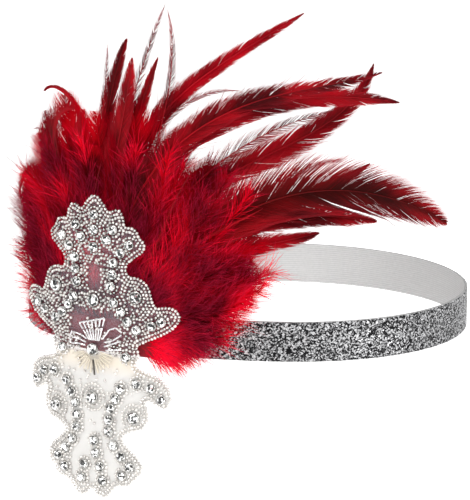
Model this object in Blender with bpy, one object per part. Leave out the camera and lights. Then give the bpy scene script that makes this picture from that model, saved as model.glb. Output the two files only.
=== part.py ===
"""A feathered headband: an oval elastic band, a beaded applique hung on its left front,
and a fan of red hackles and marabou down that springs from behind the applique.

The band's long axis is X and the forehead end is at -X. The origin is the middle of the
oval at half the band's height, where the head goes in. Everything on the applique is laid
out flat first, in distances across (along the band) and up, and is then wrapped on the oval.
"""

from collections import namedtuple
from math import cos, pi, radians, sin

import bmesh
import bpy
import numpy as np
from mathutils import Matrix, Vector

# The elastic band, relaxed
BAND_LENGTH = 0.172
BAND_WIDTH = 0.140
BAND_HEIGHT = 0.0159
BAND_THICK = 0.0012
FRONT_SHARE = 0.587  # how much of the length lies ahead of the widest place
BAND_POINTS = 96

# The clearance left between pieces that are sewn or glued on each other
GAP = 0.0003

# The applique, and where its middle sits on the oval
APPLIQUE_WIDTH = 0.0744
APPLIQUE_HEIGHT = 0.120
APPLIQUE_TURN = radians(226.4)
GROUND_THICK = 0.0010
RIM_THICK = 0.0013
WRAP_STEP = 0.006  # the flat pieces are cut this often before they are wrapped

# Cut stones in claw cups, and the flower of bugle beads
STONE_WIDTH = 0.0040
BIG_STONE_WIDTH = 0.0052
CUP_HEIGHT = 0.0012
CROWN_HEIGHT = 0.0010
LIP_SHARE = 0.12
TABLE_SHARE = 0.58
STONE_SIDES = 8
BUGLE_LENGTH = 0.0072
BUGLE_THICK = 0.0014
BUGLES = 18

# The pad behind the applique, which carries every feather
PAD_DEPTH = 0.0054
PAD_TOP = 0.0055
PAD_BOTTOM = -0.0085
PAD_LEFT = -0.020
PAD_RIGHT = 0.0295

# The feathers
HACKLE_LENGTH = 0.168
HACKLE_HALF_WIDTH = 0.0125
HACKLE_THICK = 0.0010
HACKLE_ROWS = 26
QUILL_SHARE = 0.10
QUILL_WIDTH = 0.0014
LOCK_LENGTH = 0.062
LOCK_THICK = 0.0012
LOCK_SWELL = 0.0060
CLEAR_SHARE = 1.10  # the locks start to swell this far out, past the applique's edge
SWELL_SHARE = 0.50
LOCK_ROWS = 4  # rows of faces across one lock
LOCK_STEPS = 6  # steps from its root to its tip
VALLEY_SHARE = 0.70  # how far out neighbouring locks stay joined
FAN_MIDDLE = Vector((0.0040, -0.0020))
FAN_ROOT = 0.0030
FLARE_START = 0.046  # the feathers stay flat this far from their roots, and then spread
FLARE_REACH = 0.090
FLARE = 5.0

Spot = namedtuple("Spot", "across up")
Stone = namedtuple("Stone", "across up big own mirrored")
Hackle = namedtuple("Hackle", "root lean curl flick length width layer")
Lock = namedtuple("Lock", "lean curl length swell")

# Half of the applique's outline, from its top round the right side to its foot:
# across is a share of half the width, up is a share of the height
OUTLINE = [
    Spot(0.00, 0.450), Spot(0.10, 0.425), Spot(0.16, 0.392), Spot(0.22, 0.403),
    Spot(0.29, 0.410), Spot(0.34, 0.390), Spot(0.36, 0.352), Spot(0.42, 0.355),
    Spot(0.49, 0.350), Spot(0.53, 0.322), Spot(0.60, 0.305), Spot(0.58, 0.280),
    Spot(0.50, 0.262), Spot(0.37, 0.230), Spot(0.40, 0.190), Spot(0.52, 0.195),
    Spot(0.64, 0.172), Spot(0.67, 0.135), Spot(0.71, 0.098), Spot(0.82, 0.108),
    Spot(0.94, 0.104), Spot(1.00, 0.076), Spot(0.92, 0.038), Spot(0.77, 0.010),
    Spot(0.59, -0.016), Spot(0.50, -0.030), Spot(0.55, -0.058), Spot(0.49, -0.098),
    Spot(0.57, -0.108), Spot(0.74, -0.122), Spot(0.88, -0.152), Spot(0.91, -0.195),
    Spot(0.84, -0.236), Spot(0.71, -0.212), Spot(0.60, -0.203), Spot(0.65, -0.235),
    Spot(0.66, -0.272), Spot(0.58, -0.306), Spot(0.44, -0.314), Spot(0.33, -0.338),
    Spot(0.44, -0.372), Spot(0.56, -0.400), Spot(0.61, -0.438), Spot(0.52, -0.466),
    Spot(0.43, -0.497), Spot(0.30, -0.495), Spot(0.24, -0.525), Spot(0.14, -0.548),
    Spot(0.04, -0.530), Spot(0.00, -0.512),
]

# The stones, in the same shares. An own stone is a piece by itself, and the others are
# fused on the ground. A mirrored stone is repeated on the left.
STONES = [
    Stone(0.00, 0.383, 0, 1, 0), Stone(0.00, 0.333, 0, 1, 0), Stone(0.00, 0.277, 0, 1, 0),
    Stone(0.00, 0.103, 1, 1, 0), Stone(0.00, -0.216, 1, 1, 0), Stone(0.03, -0.358, 0, 1, 0),
    Stone(0.05, -0.398, 0, 1, 0), Stone(0.23, 0.341, 0, 1, 1), Stone(0.16, 0.305, 0, 1, 1),
    Stone(0.42, 0.298, 0, 1, 1), Stone(0.32, 0.269, 0, 1, 1), Stone(0.24, 0.234, 0, 1, 1),
    Stone(0.23, 0.196, 0, 1, 1), Stone(0.21, 0.156, 0, 1, 1), Stone(0.25, 0.104, 0, 1, 1),
    Stone(0.50, 0.130, 1, 1, 1), Stone(0.40, -0.069, 0, 1, 1), Stone(0.49, -0.266, 1, 1, 1),
    Stone(0.34, -0.176, 0, 1, 1), Stone(0.52, -0.153, 0, 1, 1), Stone(0.68, -0.162, 0, 1, 1),
    Stone(0.79, -0.195, 0, 1, 1), Stone(0.79, 0.058, 0, 1, 1), Stone(0.33, 0.076, 0, 0, 1),
    Stone(0.41, 0.047, 0, 0, 1), Stone(0.51, 0.023, 0, 0, 1), Stone(0.68, 0.041, 0, 0, 1),
    Stone(0.28, -0.211, 0, 0, 1), Stone(0.22, -0.245, 0, 0, 1), Stone(0.20, -0.283, 0, 0, 1),
    Stone(0.20, -0.322, 0, 0, 1), Stone(0.26, -0.365, 0, 0, 1), Stone(0.35, -0.399, 0, 0, 1),
    Stone(0.45, -0.430, 0, 0, 1), Stone(0.36, -0.462, 0, 0, 1), Stone(0.13, -0.487, 0, 0, 1),
    Stone(0.10, -0.442, 0, 0, 1),
]
FLOWER = Spot(0.00, -0.060)

# The hackles, left to right. root is a share of half the applique's width, length and
# width are shares of the hackle sizes above, lean, curl and flick turn the shaft in
# degrees, and the layers lie one in front of the other.
HACKLES = [
    Hackle(-0.30, -18, 8, -190, 0.50, 0.30, 0),
    Hackle(-0.22, 15, -140, 219, 0.54, 0.40, 2),
    Hackle(-0.13, -51, 206, -290, 0.63, 0.16, 1),
    Hackle(-0.05, -5, 19, 9, 0.66, 0.36, 0),
    Hackle(0.03, -4, 36, -19, 0.63, 0.36, 2),
    Hackle(0.11, -2, 31, -5, 0.64, 0.26, 1),
    Hackle(0.22, -21, 131, -55, 0.95, 0.28, 0),
    Hackle(0.32, -11, 141, -41, 1.05, 0.48, 2),
    Hackle(0.40, 2, 145, -130, 0.92, 0.42, 1),
    Hackle(0.48, 22, 96, -67, 0.70, 0.30, 0),
    Hackle(0.56, 23, 88, 0, 0.90, 1.00, 2),
    Hackle(0.65, 16, 108, -32, 0.66, 0.42, 1),
    Hackle(0.73, 21, 97, -48, 0.46, 0.30, 0),
]

# The locks of down, fanned out from the pad: lean is the way each lock points and curl how
# far its tip turns aside, in degrees; length and swell are shares of the lock sizes above
LOCKS = [
    Lock(-108, -3, 0.45, 0.6), Lock(-96, 2, 0.60, 0.8), Lock(-84, -2, 0.68, 0.9),
    Lock(-72, 3, 0.76, 0.8), Lock(-60, -2, 0.92, 1.0), Lock(-48, 3, 1.12, 0.7),
    Lock(-36, -1, 1.22, 0.9), Lock(-24, 2, 1.32, 0.6), Lock(-12, -2, 1.36, 0.8),
    Lock(0, 2, 1.30, 0.6), Lock(12, -2, 1.40, 0.9), Lock(24, 3, 1.36, 0.7),
    Lock(36, -2, 1.46, 1.0), Lock(48, 3, 1.40, 0.8), Lock(60, -3, 1.36, 1.0),
    Lock(72, 2, 1.16, 0.9), Lock(84, -2, 0.80, 1.0), Lock(96, 2, 0.54, 0.8),
    Lock(108, -1, 0.42, 0.6),
]

half_width = APPLIQUE_WIDTH / 2
pad_inside = GAP
pad_outside = GAP + PAD_DEPTH
ground_inside = pad_outside + GAP
ground_outside = ground_inside + GROUND_THICK
stone_foot = ground_outside + GAP
lock_layer = pad_outside - LOCK_THICK / 2 - GAP / 3
layer_step = HACKLE_THICK + 1.3 * GAP
first_layer = GAP + HACKLE_THICK / 2


def oval(turn, out):
    """The point of the oval at this turn, this far outside the band, and its normal."""
    front = BAND_LENGTH * FRONT_SHARE
    back = BAND_LENGTH - front
    reach = front if cos(turn) < 0 else back
    side = BAND_WIDTH / 2
    normal = Vector((cos(turn) / reach, sin(turn) / side, 0)).normalized()
    middle = front - BAND_LENGTH / 2
    return Vector((middle + reach * cos(turn), side * sin(turn), 0)) + normal * out, normal


def wrap_table():
    """Where distances along the applique fall on the oval, as rows of distance and turn."""
    turns = np.linspace(APPLIQUE_TURN - pi / 2, APPLIQUE_TURN + pi / 2, 1201)
    spots = np.array([oval(turn, ground_outside)[0] for turn in turns])
    steps = np.linalg.norm(np.diff(spots, axis=0), axis=1)
    along = np.concatenate([[0], np.cumsum(steps)])
    return along - np.interp(APPLIQUE_TURN, turns, along), turns


wrap_along, wrap_turns = wrap_table()


def frame_at(across):
    """The point, the direction across and the outward normal on the band at this distance
    from the applique's middle. Past the applique's sides the wrap goes on straight."""
    inside = min(max(across, -half_width), half_width)
    turn = float(np.interp(inside, wrap_along, wrap_turns))
    spot, normal = oval(turn, 0)
    sideways = Vector((0, 0, 1)).cross(normal)
    return spot + sideways * (across - inside), sideways, normal


def place(across, up, out):
    spot, _, normal = frame_at(across)
    return spot + normal * out + Vector((0, 0, up))


def smooth(share):
    share = min(max(share, 0), 1)
    return share * share * (3 - 2 * share)


def flare_at(across, up):
    """How much further apart the feathers' layers lie here than at their roots."""
    reach = (across * across + (up - PAD_TOP) ** 2) ** 0.5
    return 1 + FLARE * (max(0, reach - FLARE_START) / FLARE_REACH) ** 2


def edge_share(across, up):
    """How far out this spot is, as a share of the way to the edge of the oval that holds
    the applique."""
    return ((across / half_width) ** 2 + (up / (OUTLINE[0].up * APPLIQUE_HEIGHT)) ** 2) ** 0.5


def clear_scene():
    for thing in list(bpy.data.objects):
        bpy.data.objects.remove(thing, do_unlink=True)


def new_collection(name):
    group = bpy.data.collections.new(name)
    bpy.context.scene.collection.children.link(group)
    return group


def finish(name, color, roughness, metallic):
    made = bpy.data.materials.new(name)
    made.use_nodes = True
    shader = made.node_tree.nodes["Principled BSDF"]
    shader.inputs["Base Color"].default_value = (*color, 1)
    shader.inputs["Roughness"].default_value = roughness
    shader.inputs["Metallic"].default_value = metallic
    return made


def add_object(name, data, group, material=None):
    thing = bpy.data.objects.new(name, data)
    group.objects.link(thing)
    if material and not data.materials:
        data.materials.append(material)
    return thing


def mesh_from(builder, name):
    mesh = bpy.data.meshes.new(name)
    builder.to_mesh(mesh)
    builder.free()
    return mesh


def curve_mesh(name, splines, group, **settings):
    """A closed POLY curve of these splines, turned into a welded mesh."""
    curve = bpy.data.curves.new(name, "CURVE")
    for setting, value in settings.items():
        setattr(curve, setting, value)
    for points in splines:
        spline = curve.splines.new("POLY")
        spline.points.add(len(points) - 1)
        spline.use_cyclic_u = True
        for point, spot in zip(spline.points, points):
            point.co = (*spot, 1)
    thing = add_object(name, curve, group)
    graph = bpy.context.evaluated_depsgraph_get()
    mesh = bpy.data.meshes.new_from_object(thing.evaluated_get(graph))
    bpy.data.objects.remove(thing, do_unlink=True)
    builder = bmesh.new()
    builder.from_mesh(mesh)
    bmesh.ops.remove_doubles(builder, verts=builder.verts, dist=1e-6)
    bmesh.ops.dissolve_limit(
        builder, angle_limit=radians(1), verts=builder.verts, edges=builder.edges
    )
    builder.to_mesh(mesh)
    builder.free()
    return mesh


def fused(name, base, others, group):
    """The mesh of base joined with the others by Boolean unions, the helpers removed."""
    body = add_object(name, base, group)
    helpers = [add_object(f"{name}_{n}", other, group) for n, other in enumerate(others)]
    for helper in helpers:
        join = body.modifiers.new("Join", "BOOLEAN")
        join.operation = "UNION"
        join.solver = "EXACT"
        join.object = helper
    graph = bpy.context.evaluated_depsgraph_get()
    mesh = bpy.data.meshes.new_from_object(body.evaluated_get(graph))
    for thing in [body, *helpers]:
        bpy.data.objects.remove(thing, do_unlink=True)
    return mesh


def cut_in_strips(mesh):
    """Cuts a flat mesh across at even steps, so that it can follow the oval."""
    builder = bmesh.new()
    builder.from_mesh(mesh)
    reach = max(abs(vertex.co.x) for vertex in builder.verts)
    cuts = int(reach / WRAP_STEP)
    for cut in range(-cuts, cuts + 1):
        everything = builder.verts[:] + builder.edges[:] + builder.faces[:]
        bmesh.ops.bisect_plane(
            builder, geom=everything, plane_co=(cut * WRAP_STEP, 0, 0), plane_no=(1, 0, 0)
        )
    builder.to_mesh(mesh)
    builder.free()
    return mesh


def wrap(mesh, out):
    """Bends a flat mesh, drawn in across and up, round the oval at this distance out."""
    for vertex in mesh.vertices:
        vertex.co = place(vertex.co.x, vertex.co.y, out + vertex.co.z)
    return mesh


def band(group, material):
    turns = [2 * pi * n / BAND_POINTS for n in range(BAND_POINTS)]
    outer = [oval(turn, 0)[0] for turn in turns]
    inner = [oval(turn, -BAND_THICK)[0] for turn in turns]
    mesh = curve_mesh(
        "elastic_band", [outer, inner], group,
        dimensions="2D", fill_mode="BOTH", extrude=BAND_HEIGHT / 2,
    )
    add_object("elastic_band", mesh, group, material)


def outline_points(height):
    right = [(s.across * half_width, s.up * APPLIQUE_HEIGHT, height) for s in OUTLINE]
    left = [(-across, up, height) for across, up, _ in right[-2:0:-1]]
    return (right + left)[::-1]


def stone_builder(width):
    """A claw cup with a cut stone in it: a lip, sixteen crown facets and a table."""
    builder = bmesh.new()
    bmesh.ops.create_cone(
        builder, cap_ends=True, segments=STONE_SIDES, radius1=width / 2,
        radius2=width / 2, depth=CUP_HEIGHT, matrix=Matrix.Translation((0, 0, CUP_HEIGHT / 2)),
    )
    top = max(builder.faces, key=lambda face: face.calc_center_median().z)
    bmesh.ops.inset_region(builder, faces=[top], thickness=width / 2 * LIP_SHARE)
    girdle = top.verts[:]
    table = bmesh.ops.extrude_face_region(builder, geom=[top])["geom"]
    corners = [item for item in table if isinstance(item, bmesh.types.BMVert)]
    builder.faces.remove(top)
    turn = Matrix.Rotation(pi / STONE_SIDES, 4, "Z")
    shrink = Matrix.Diagonal((TABLE_SHARE, TABLE_SHARE, 1, 1))
    lift = Matrix.Translation((0, 0, CROWN_HEIGHT))
    bmesh.ops.transform(builder, matrix=lift @ turn @ shrink, verts=corners)
    crown = [face for face in builder.faces
             if any(v in girdle for v in face.verts) and any(v in corners for v in face.verts)]
    bmesh.ops.triangulate(builder, faces=crown, quad_method="SHORT_EDGE")
    return builder


def stone_spots():
    """Each stone's place and width, with its own mark, left copies included."""
    for stone in STONES:
        width = BIG_STONE_WIDTH if stone.big else STONE_WIDTH
        for side in (1, -1) if stone.mirrored else (1,):
            spot = (side * stone.across * half_width, stone.up * APPLIQUE_HEIGHT)
            yield spot, width, stone.own


def ground(group, material):
    flat = curve_mesh(
        "ground_sheet", [outline_points(0)], group,
        dimensions="2D", fill_mode="BOTH", extrude=GROUND_THICK / 2,
    )
    rim = curve_mesh(
        "ground_rim", [outline_points(GROUND_THICK / 2)], group,
        dimensions="3D", bevel_depth=RIM_THICK / 2, bevel_resolution=0,
    )
    field = bmesh.new()
    for (across, up), width, own in stone_spots():
        if own:
            continue
        stone = mesh_from(stone_builder(width), "small_stone")
        stone.transform(Matrix.Translation((across, up, 0)))
        field.from_mesh(stone)
    cut_in_strips(flat)
    mesh = fused("applique_ground", flat, [mesh_from(field, "small_stones"), rim], group)
    wrap(mesh, ground_inside + GROUND_THICK / 2)
    add_object("applique_ground", mesh, group, material)


def standing(across, up, out):
    """The matrix that sets a piece on the applique with its own +Z facing outwards."""
    _, sideways, normal = frame_at(across)
    turn = Matrix((sideways, Vector((0, 0, 1)), normal)).transposed().to_4x4()
    return Matrix.Translation(place(across, up, out)) @ turn


def stones(group, material):
    small = mesh_from(stone_builder(STONE_WIDTH), "stone")
    big = mesh_from(stone_builder(BIG_STONE_WIDTH), "big_stone")
    own_spots = [(spot, width) for spot, width, own in stone_spots() if own]
    for count, ((across, up), width) in enumerate(own_spots, 1):
        mesh = big if width == BIG_STONE_WIDTH else small
        stone = add_object(f"stone_{count:02d}", mesh, group, material)
        stone.matrix_world = standing(across, up, stone_foot)


def flower(group, material):
    """Bugle beads laid out like rays round a cupped stone."""
    cup = mesh_from(stone_builder(BIG_STONE_WIDTH), "flower_stone")
    rays = []
    for count in range(BUGLES):
        ray = bmesh.new()
        bmesh.ops.create_cone(
            ray, cap_ends=True, segments=6, radius1=BUGLE_THICK / 2,
            radius2=BUGLE_THICK / 2, depth=BUGLE_LENGTH,
        )
        away = Matrix.Translation((0, BUGLE_LENGTH / 2 + BUGLE_THICK / 2, BUGLE_THICK / 2))
        lie = Matrix.Rotation(pi / 2, 4, "X") @ Matrix.Rotation(pi / 6, 4, "Z")
        turn = Matrix.Rotation(2 * pi * (count + 0.5) / BUGLES, 4, "Z")
        bmesh.ops.transform(ray, matrix=turn @ away @ lie, verts=ray.verts)
        rays.append(mesh_from(ray, "bugle"))
    mesh = fused("bugle_flower", cup, rays, group)
    thing = add_object("bugle_flower", mesh, group, material)
    up = FLOWER.up * APPLIQUE_HEIGHT
    thing.matrix_world = standing(FLOWER.across * half_width, up, stone_foot)


def shaft(start, lean, curl, flick, length, rows):
    """Points along a feather's shaft and its direction there, turning by the rule
    lean + curl x share + flick x share cubed."""
    spot = Vector(start)
    found = []
    for row in range(rows + 1):
        share = row / rows
        angle = radians(lean + curl * share + flick * share ** 3)
        ahead = Vector((sin(angle), cos(angle)))
        found.append((spot.copy(), ahead))
        middle = share + 0.5 / rows
        angle = radians(lean + curl * middle + flick * middle ** 3)
        spot += Vector((sin(angle), cos(angle))) * length / rows
    return found


def rolled(rows, around, spot_at):
    """A grid rolled into a tube whose ends close in points; spot_at(row, angle) gives
    across, up and out."""
    builder = bmesh.new()
    bmesh.ops.create_grid(builder, x_segments=around, y_segments=rows, size=0.5)
    for vertex in builder.verts:
        angle = 2 * pi * (vertex.co.x + 0.5)
        vertex.co = place(*spot_at(round((vertex.co.y + 0.5) * rows), angle))
    bmesh.ops.remove_doubles(builder, verts=builder.verts, dist=1e-6)
    bmesh.ops.triangulate(builder, faces=builder.faces)
    bmesh.ops.recalc_face_normals(builder, faces=builder.faces)
    return builder


def hackle_builder(hackle):
    length = HACKLE_LENGTH * hackle.length
    vane_width = HACKLE_HALF_WIDTH * hackle.width
    start = (hackle.root * half_width, PAD_TOP + GAP)
    path = shaft(start, hackle.lean, hackle.curl, hackle.flick, length, HACKLE_ROWS)
    layer = first_layer + hackle.layer * layer_step

    def spot_at(row, angle):
        share = row / HACKLE_ROWS
        spot, ahead = path[row]
        if row in (0, HACKLE_ROWS):
            return spot.x, spot.y, layer * flare_at(spot.x, spot.y)
        body = max(0, (share - QUILL_SHARE) / (1 - QUILL_SHARE))
        barbs = vane_width * 2.38 * body ** 0.5 * (1 - body) ** 0.8
        notch = 0.72 if row % 2 else 1
        width = max(QUILL_WIDTH / 2, barbs * notch)
        side = Vector((ahead.y, -ahead.x))
        spot = spot + side * width * cos(angle) + ahead * (width * 0.6 * abs(cos(angle)))
        thick = HACKLE_THICK / 2 * sin(angle)
        return spot.x, spot.y, layer * flare_at(spot.x, spot.y) + thick

    return rolled(HACKLE_ROWS, 4, spot_at)


def hackles(group, material):
    for count, hackle in enumerate(HACKLES, 1):
        mesh = mesh_from(hackle_builder(hackle), f"hackle_{count:02d}")
        add_object(f"hackle_{count:02d}", mesh, group, material)


def locks_builder():
    """The down as one fan of locks: a thin sheet behind the applique that swells into
    round locks past its edge. Each row of the fan runs out along its front to a tip and
    comes back along its rear."""
    rows = len(LOCKS) * LOCK_ROWS
    crests = [LOCK_ROWS * (count + 0.5) for count in range(len(LOCKS))]
    step = (LOCKS[-1].lean - LOCKS[0].lean) / (len(LOCKS) - 1)

    def spot_at(row, turn):
        crest = 1 - abs(2 * (row % LOCK_ROWS) / LOCK_ROWS - 1)
        tip = np.interp(row, crests, [lock.length for lock in LOCKS])
        curl = np.interp(row, crests, [lock.curl for lock in LOCKS])
        swell = np.interp(row, crests, [lock.swell for lock in LOCKS]) * LOCK_SWELL
        lean = LOCKS[0].lean + step * (row / LOCK_ROWS - 0.5)
        reach = LOCK_LENGTH * tip * (VALLEY_SHARE + (1 - VALLEY_SHARE) * crest ** 0.7)
        share = 1 - abs(1 - turn / pi)
        away = FAN_ROOT + (reach - FAN_ROOT) * share
        angle = radians(lean + curl * share ** 2)
        across = FAN_MIDDLE.x + away * sin(angle)
        up = FAN_MIDDLE.y + away * cos(angle)
        free = smooth((edge_share(across, up) - CLEAR_SHARE) / SWELL_SHARE)
        out = lock_layer * flare_at(across, up) + swell * free
        thick = LOCK_THICK / 2 + swell * 0.8 * free * (0.4 + 0.6 * crest)
        thick *= 1 - share ** 6
        if row in (0, rows) or share == 0:
            thick = 0
        return across, up, out + (thick if turn < pi else -thick)

    return rolled(rows, 2 * LOCK_STEPS, spot_at)


def fluff(group, material):
    """The pad, with the locks of down fused to it."""
    builder = bmesh.new()
    bmesh.ops.create_cube(builder, size=1)
    size = Matrix.Diagonal((PAD_RIGHT - PAD_LEFT, PAD_TOP - PAD_BOTTOM, PAD_DEPTH, 1))
    middle = ((PAD_LEFT + PAD_RIGHT) / 2, (PAD_TOP + PAD_BOTTOM) / 2, 0)
    bmesh.ops.transform(
        builder, matrix=Matrix.Translation(middle) @ size, verts=builder.verts
    )
    mesh = cut_in_strips(mesh_from(builder, "marabou_fluff"))
    wrap(mesh, (pad_inside + pad_outside) / 2)
    mesh = fused("marabou_fluff", mesh, [mesh_from(locks_builder(), "locks")], group)
    add_object("marabou_fluff", mesh, group, material)


def main():
    clear_scene()
    group = new_collection("flapper_feather_headband")
    band(group, finish("silver_glitter", (0.72, 0.72, 0.74), 0.35, 0.6))
    ground(group, finish("sheer_ground", (0.86, 0.80, 0.84), 0.5, 0.1))
    stones(group, finish("cut_glass", (0.90, 0.92, 0.95), 0.05, 0.3))
    flower(group, finish("bugle_glass", (0.82, 0.82, 0.84), 0.12, 0.5))
    hackles(group, finish("dark_red_hackle", (0.24, 0.004, 0.010), 0.45, 0.0))
    fluff(group, finish("crimson_down", (0.55, 0.010, 0.035), 0.8, 0.0))


main()
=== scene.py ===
# Flapper feather headband: the looks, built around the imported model
from math import cos, pi, radians, sin

import bmesh
import bpy
import numpy as np
from mathutils import Matrix, Vector


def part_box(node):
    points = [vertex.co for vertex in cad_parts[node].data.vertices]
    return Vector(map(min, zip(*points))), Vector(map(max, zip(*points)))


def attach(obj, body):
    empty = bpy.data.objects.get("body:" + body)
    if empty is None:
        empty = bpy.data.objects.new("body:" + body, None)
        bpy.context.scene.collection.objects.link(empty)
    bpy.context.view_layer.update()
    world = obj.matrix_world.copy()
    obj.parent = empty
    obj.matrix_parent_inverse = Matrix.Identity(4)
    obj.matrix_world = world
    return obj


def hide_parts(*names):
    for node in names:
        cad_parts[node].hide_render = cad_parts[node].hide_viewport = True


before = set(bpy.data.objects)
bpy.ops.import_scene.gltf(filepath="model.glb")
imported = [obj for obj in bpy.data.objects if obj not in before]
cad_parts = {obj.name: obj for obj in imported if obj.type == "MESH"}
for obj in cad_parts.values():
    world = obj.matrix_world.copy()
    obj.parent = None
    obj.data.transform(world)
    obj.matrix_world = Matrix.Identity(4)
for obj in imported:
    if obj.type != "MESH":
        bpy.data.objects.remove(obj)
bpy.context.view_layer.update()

mm = 0.001
rng = np.random.default_rng(21)


# The oval of the band, and the flat chart of the applique that is wrapped on it.
# Chart distances are across (along the band), up, and out from the band.

bandLow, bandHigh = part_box("elastic_band")
band = {
    "length": bandHigh.x - bandLow.x,
    "width": bandHigh.y - bandLow.y,
    "height": bandHigh.z - bandLow.z,
    "thick": 1.2 * mm,
    "frontShare": 0.587,     # of the length, on the side of the applique
}
applique = {
    "width": 74.4 * mm,
    "height": 120 * mm,
    "turn": radians(226.4),
    "inside": 6.0 * mm,      # how far out its inner and outer faces lie
    "outside": 7.0 * mm,
    "edgeTop": 0.45,         # share of the height that lies above the band's middle
}
fan = {
    "padTop": 5.5 * mm,
    "rootGap": 0.3 * mm,
    "flareStart": 46 * mm,   # past this distance the layers of feathers open out
    "flareReach": 90 * mm,
    "flare": 5.0,
    "firstLayer": 0.8 * mm,
    "layerStep": 1.39 * mm,
    "hackleLength": 168 * mm,
    "hackleHalfWidth": 12.5 * mm,
    "quillShare": 0.10,      # bare quill at the root
    "lockLength": 62 * mm,
}
halfWidth = applique["width"] / 2


def ovalPoint(turn, out):
    # Points of the oval at these turns, this far outside the band, and their normals.
    turn = np.asarray(turn, float)
    front = band["length"] * band["frontShare"]
    reach = np.where(np.cos(turn) < 0, front, band["length"] - front)
    side = band["width"] / 2
    normal = np.stack([np.cos(turn) / reach, np.sin(turn) / side], -1)
    normal /= np.linalg.norm(normal, axis=-1, keepdims=True)
    middle = front - band["length"] / 2
    spot = np.stack([middle + reach * np.cos(turn), side * np.sin(turn)], -1)
    return spot + normal * np.asarray(out)[..., None], normal


wrapTurns = np.linspace(applique["turn"] - pi / 2, applique["turn"] + pi / 2, 2401)
wrapSpots = ovalPoint(wrapTurns, applique["outside"])[0]
wrapAlong = np.concatenate([[0], np.cumsum(np.linalg.norm(np.diff(wrapSpots, axis=0), axis=1))])
wrapAlong -= np.interp(applique["turn"], wrapTurns, wrapAlong)


def chartFrame(across):
    # Points on the band at these chart places, and the ways along it and out of it.
    inside = np.clip(across, -halfWidth, halfWidth)
    spot, normal = ovalPoint(np.interp(inside, wrapAlong, wrapTurns), 0)
    sideways = np.stack([-normal[..., 1], normal[..., 0]], -1)
    return spot + sideways * (across - inside)[..., None], sideways, normal


def place(across, up, out):
    # World points of these chart places.
    across, up, out = np.broadcast_arrays(*(np.asarray(v, float) for v in (across, up, out)))
    spot, _, normal = chartFrame(across)
    flat = spot + normal * out[..., None]
    return np.concatenate([flat, up[..., None]], -1)


def smooth(share):
    share = np.clip(share, 0, 1)
    return share * share * (3 - 2 * share)


def flareAt(across, up):
    reach = np.hypot(across, up - fan["padTop"])
    return 1 + fan["flare"] * (np.maximum(0, reach - fan["flareStart"]) / fan["flareReach"]) ** 2


def edgeShare(across, up):
    return np.hypot(across / halfWidth, up / (applique["edgeTop"] * applique["height"]))


# Small helpers for objects, meshes and materials

def deselectAll():
    if bpy.context.object and bpy.context.object.mode != "OBJECT":
        bpy.ops.object.mode_set(mode="OBJECT")
    bpy.ops.object.select_all(action="DESELECT")


def current(name):
    thing = bpy.context.active_object
    thing.name = name
    thing.data.name = name
    return thing


def useOnly(thing):
    deselectAll()
    thing.select_set(True)
    bpy.context.view_layer.objects.active = thing


def coords(mesh):
    found = np.empty(len(mesh.vertices) * 3)
    mesh.vertices.foreach_get("co", found)
    return found.reshape(-1, 3)


def setCoords(mesh, points):
    mesh.vertices.foreach_set("co", np.asarray(points, np.float32).ravel())
    mesh.update()


def newPiece(name, mesh, material, replaces=()):
    thing = bpy.data.objects.get(name) or bpy.data.objects.new(name, mesh)
    if not thing.users_collection:
        bpy.context.scene.collection.objects.link(thing)
    mesh.materials.clear()
    mesh.materials.append(material)
    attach(thing, "root")
    if replaces:
        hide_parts(*replaces)
    return thing


def meshFromArrays(name, points, faceSets, attributes=None):
    # A mesh of these points; each face set is an array with as many columns as corners.
    mesh = bpy.data.meshes.new(name)
    corners = np.concatenate([faces.ravel() for faces in faceSets])
    counts = np.concatenate([np.full(len(faces), faces.shape[1]) for faces in faceSets])
    mesh.vertices.add(len(points))
    mesh.vertices.foreach_set("co", np.asarray(points, np.float32).ravel())
    mesh.loops.add(len(corners))
    mesh.loops.foreach_set("vertex_index", corners.astype(np.int32))
    mesh.polygons.add(len(counts))
    starts = np.concatenate([[0], np.cumsum(counts)[:-1]])
    mesh.polygons.foreach_set("loop_start", starts.astype(np.int32))
    mesh.update(calc_edges=True)
    for key, values in (attributes or {}).items():
        layer = mesh.attributes.new(key, "FLOAT", "POINT")
        layer.data.foreach_set("value", np.asarray(values, np.float32))
    return mesh


def copiesMesh(name, template, matrices, tints):
    # One joined mesh of a template mesh at many 4x4 matrices, with a tint for each copy.
    points = coords(template)
    template.calc_loop_triangles()
    sides = {}
    for face in template.polygons:
        sides.setdefault(len(face.vertices), []).append(list(face.vertices))
    flat = np.concatenate([points, np.ones((len(points), 1))], 1)
    moved = np.einsum("nij,pj->npi", matrices, flat)[..., :3].reshape(-1, 3)
    shifts = np.arange(len(matrices)) * len(points)
    faceSets = [
        (np.array(faces)[None] + shifts[:, None, None]).reshape(-1, count)
        for count, faces in sides.items()
    ]
    return meshFromArrays(name, moved, faceSets, {"tint": np.repeat(tints, len(points))})


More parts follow.
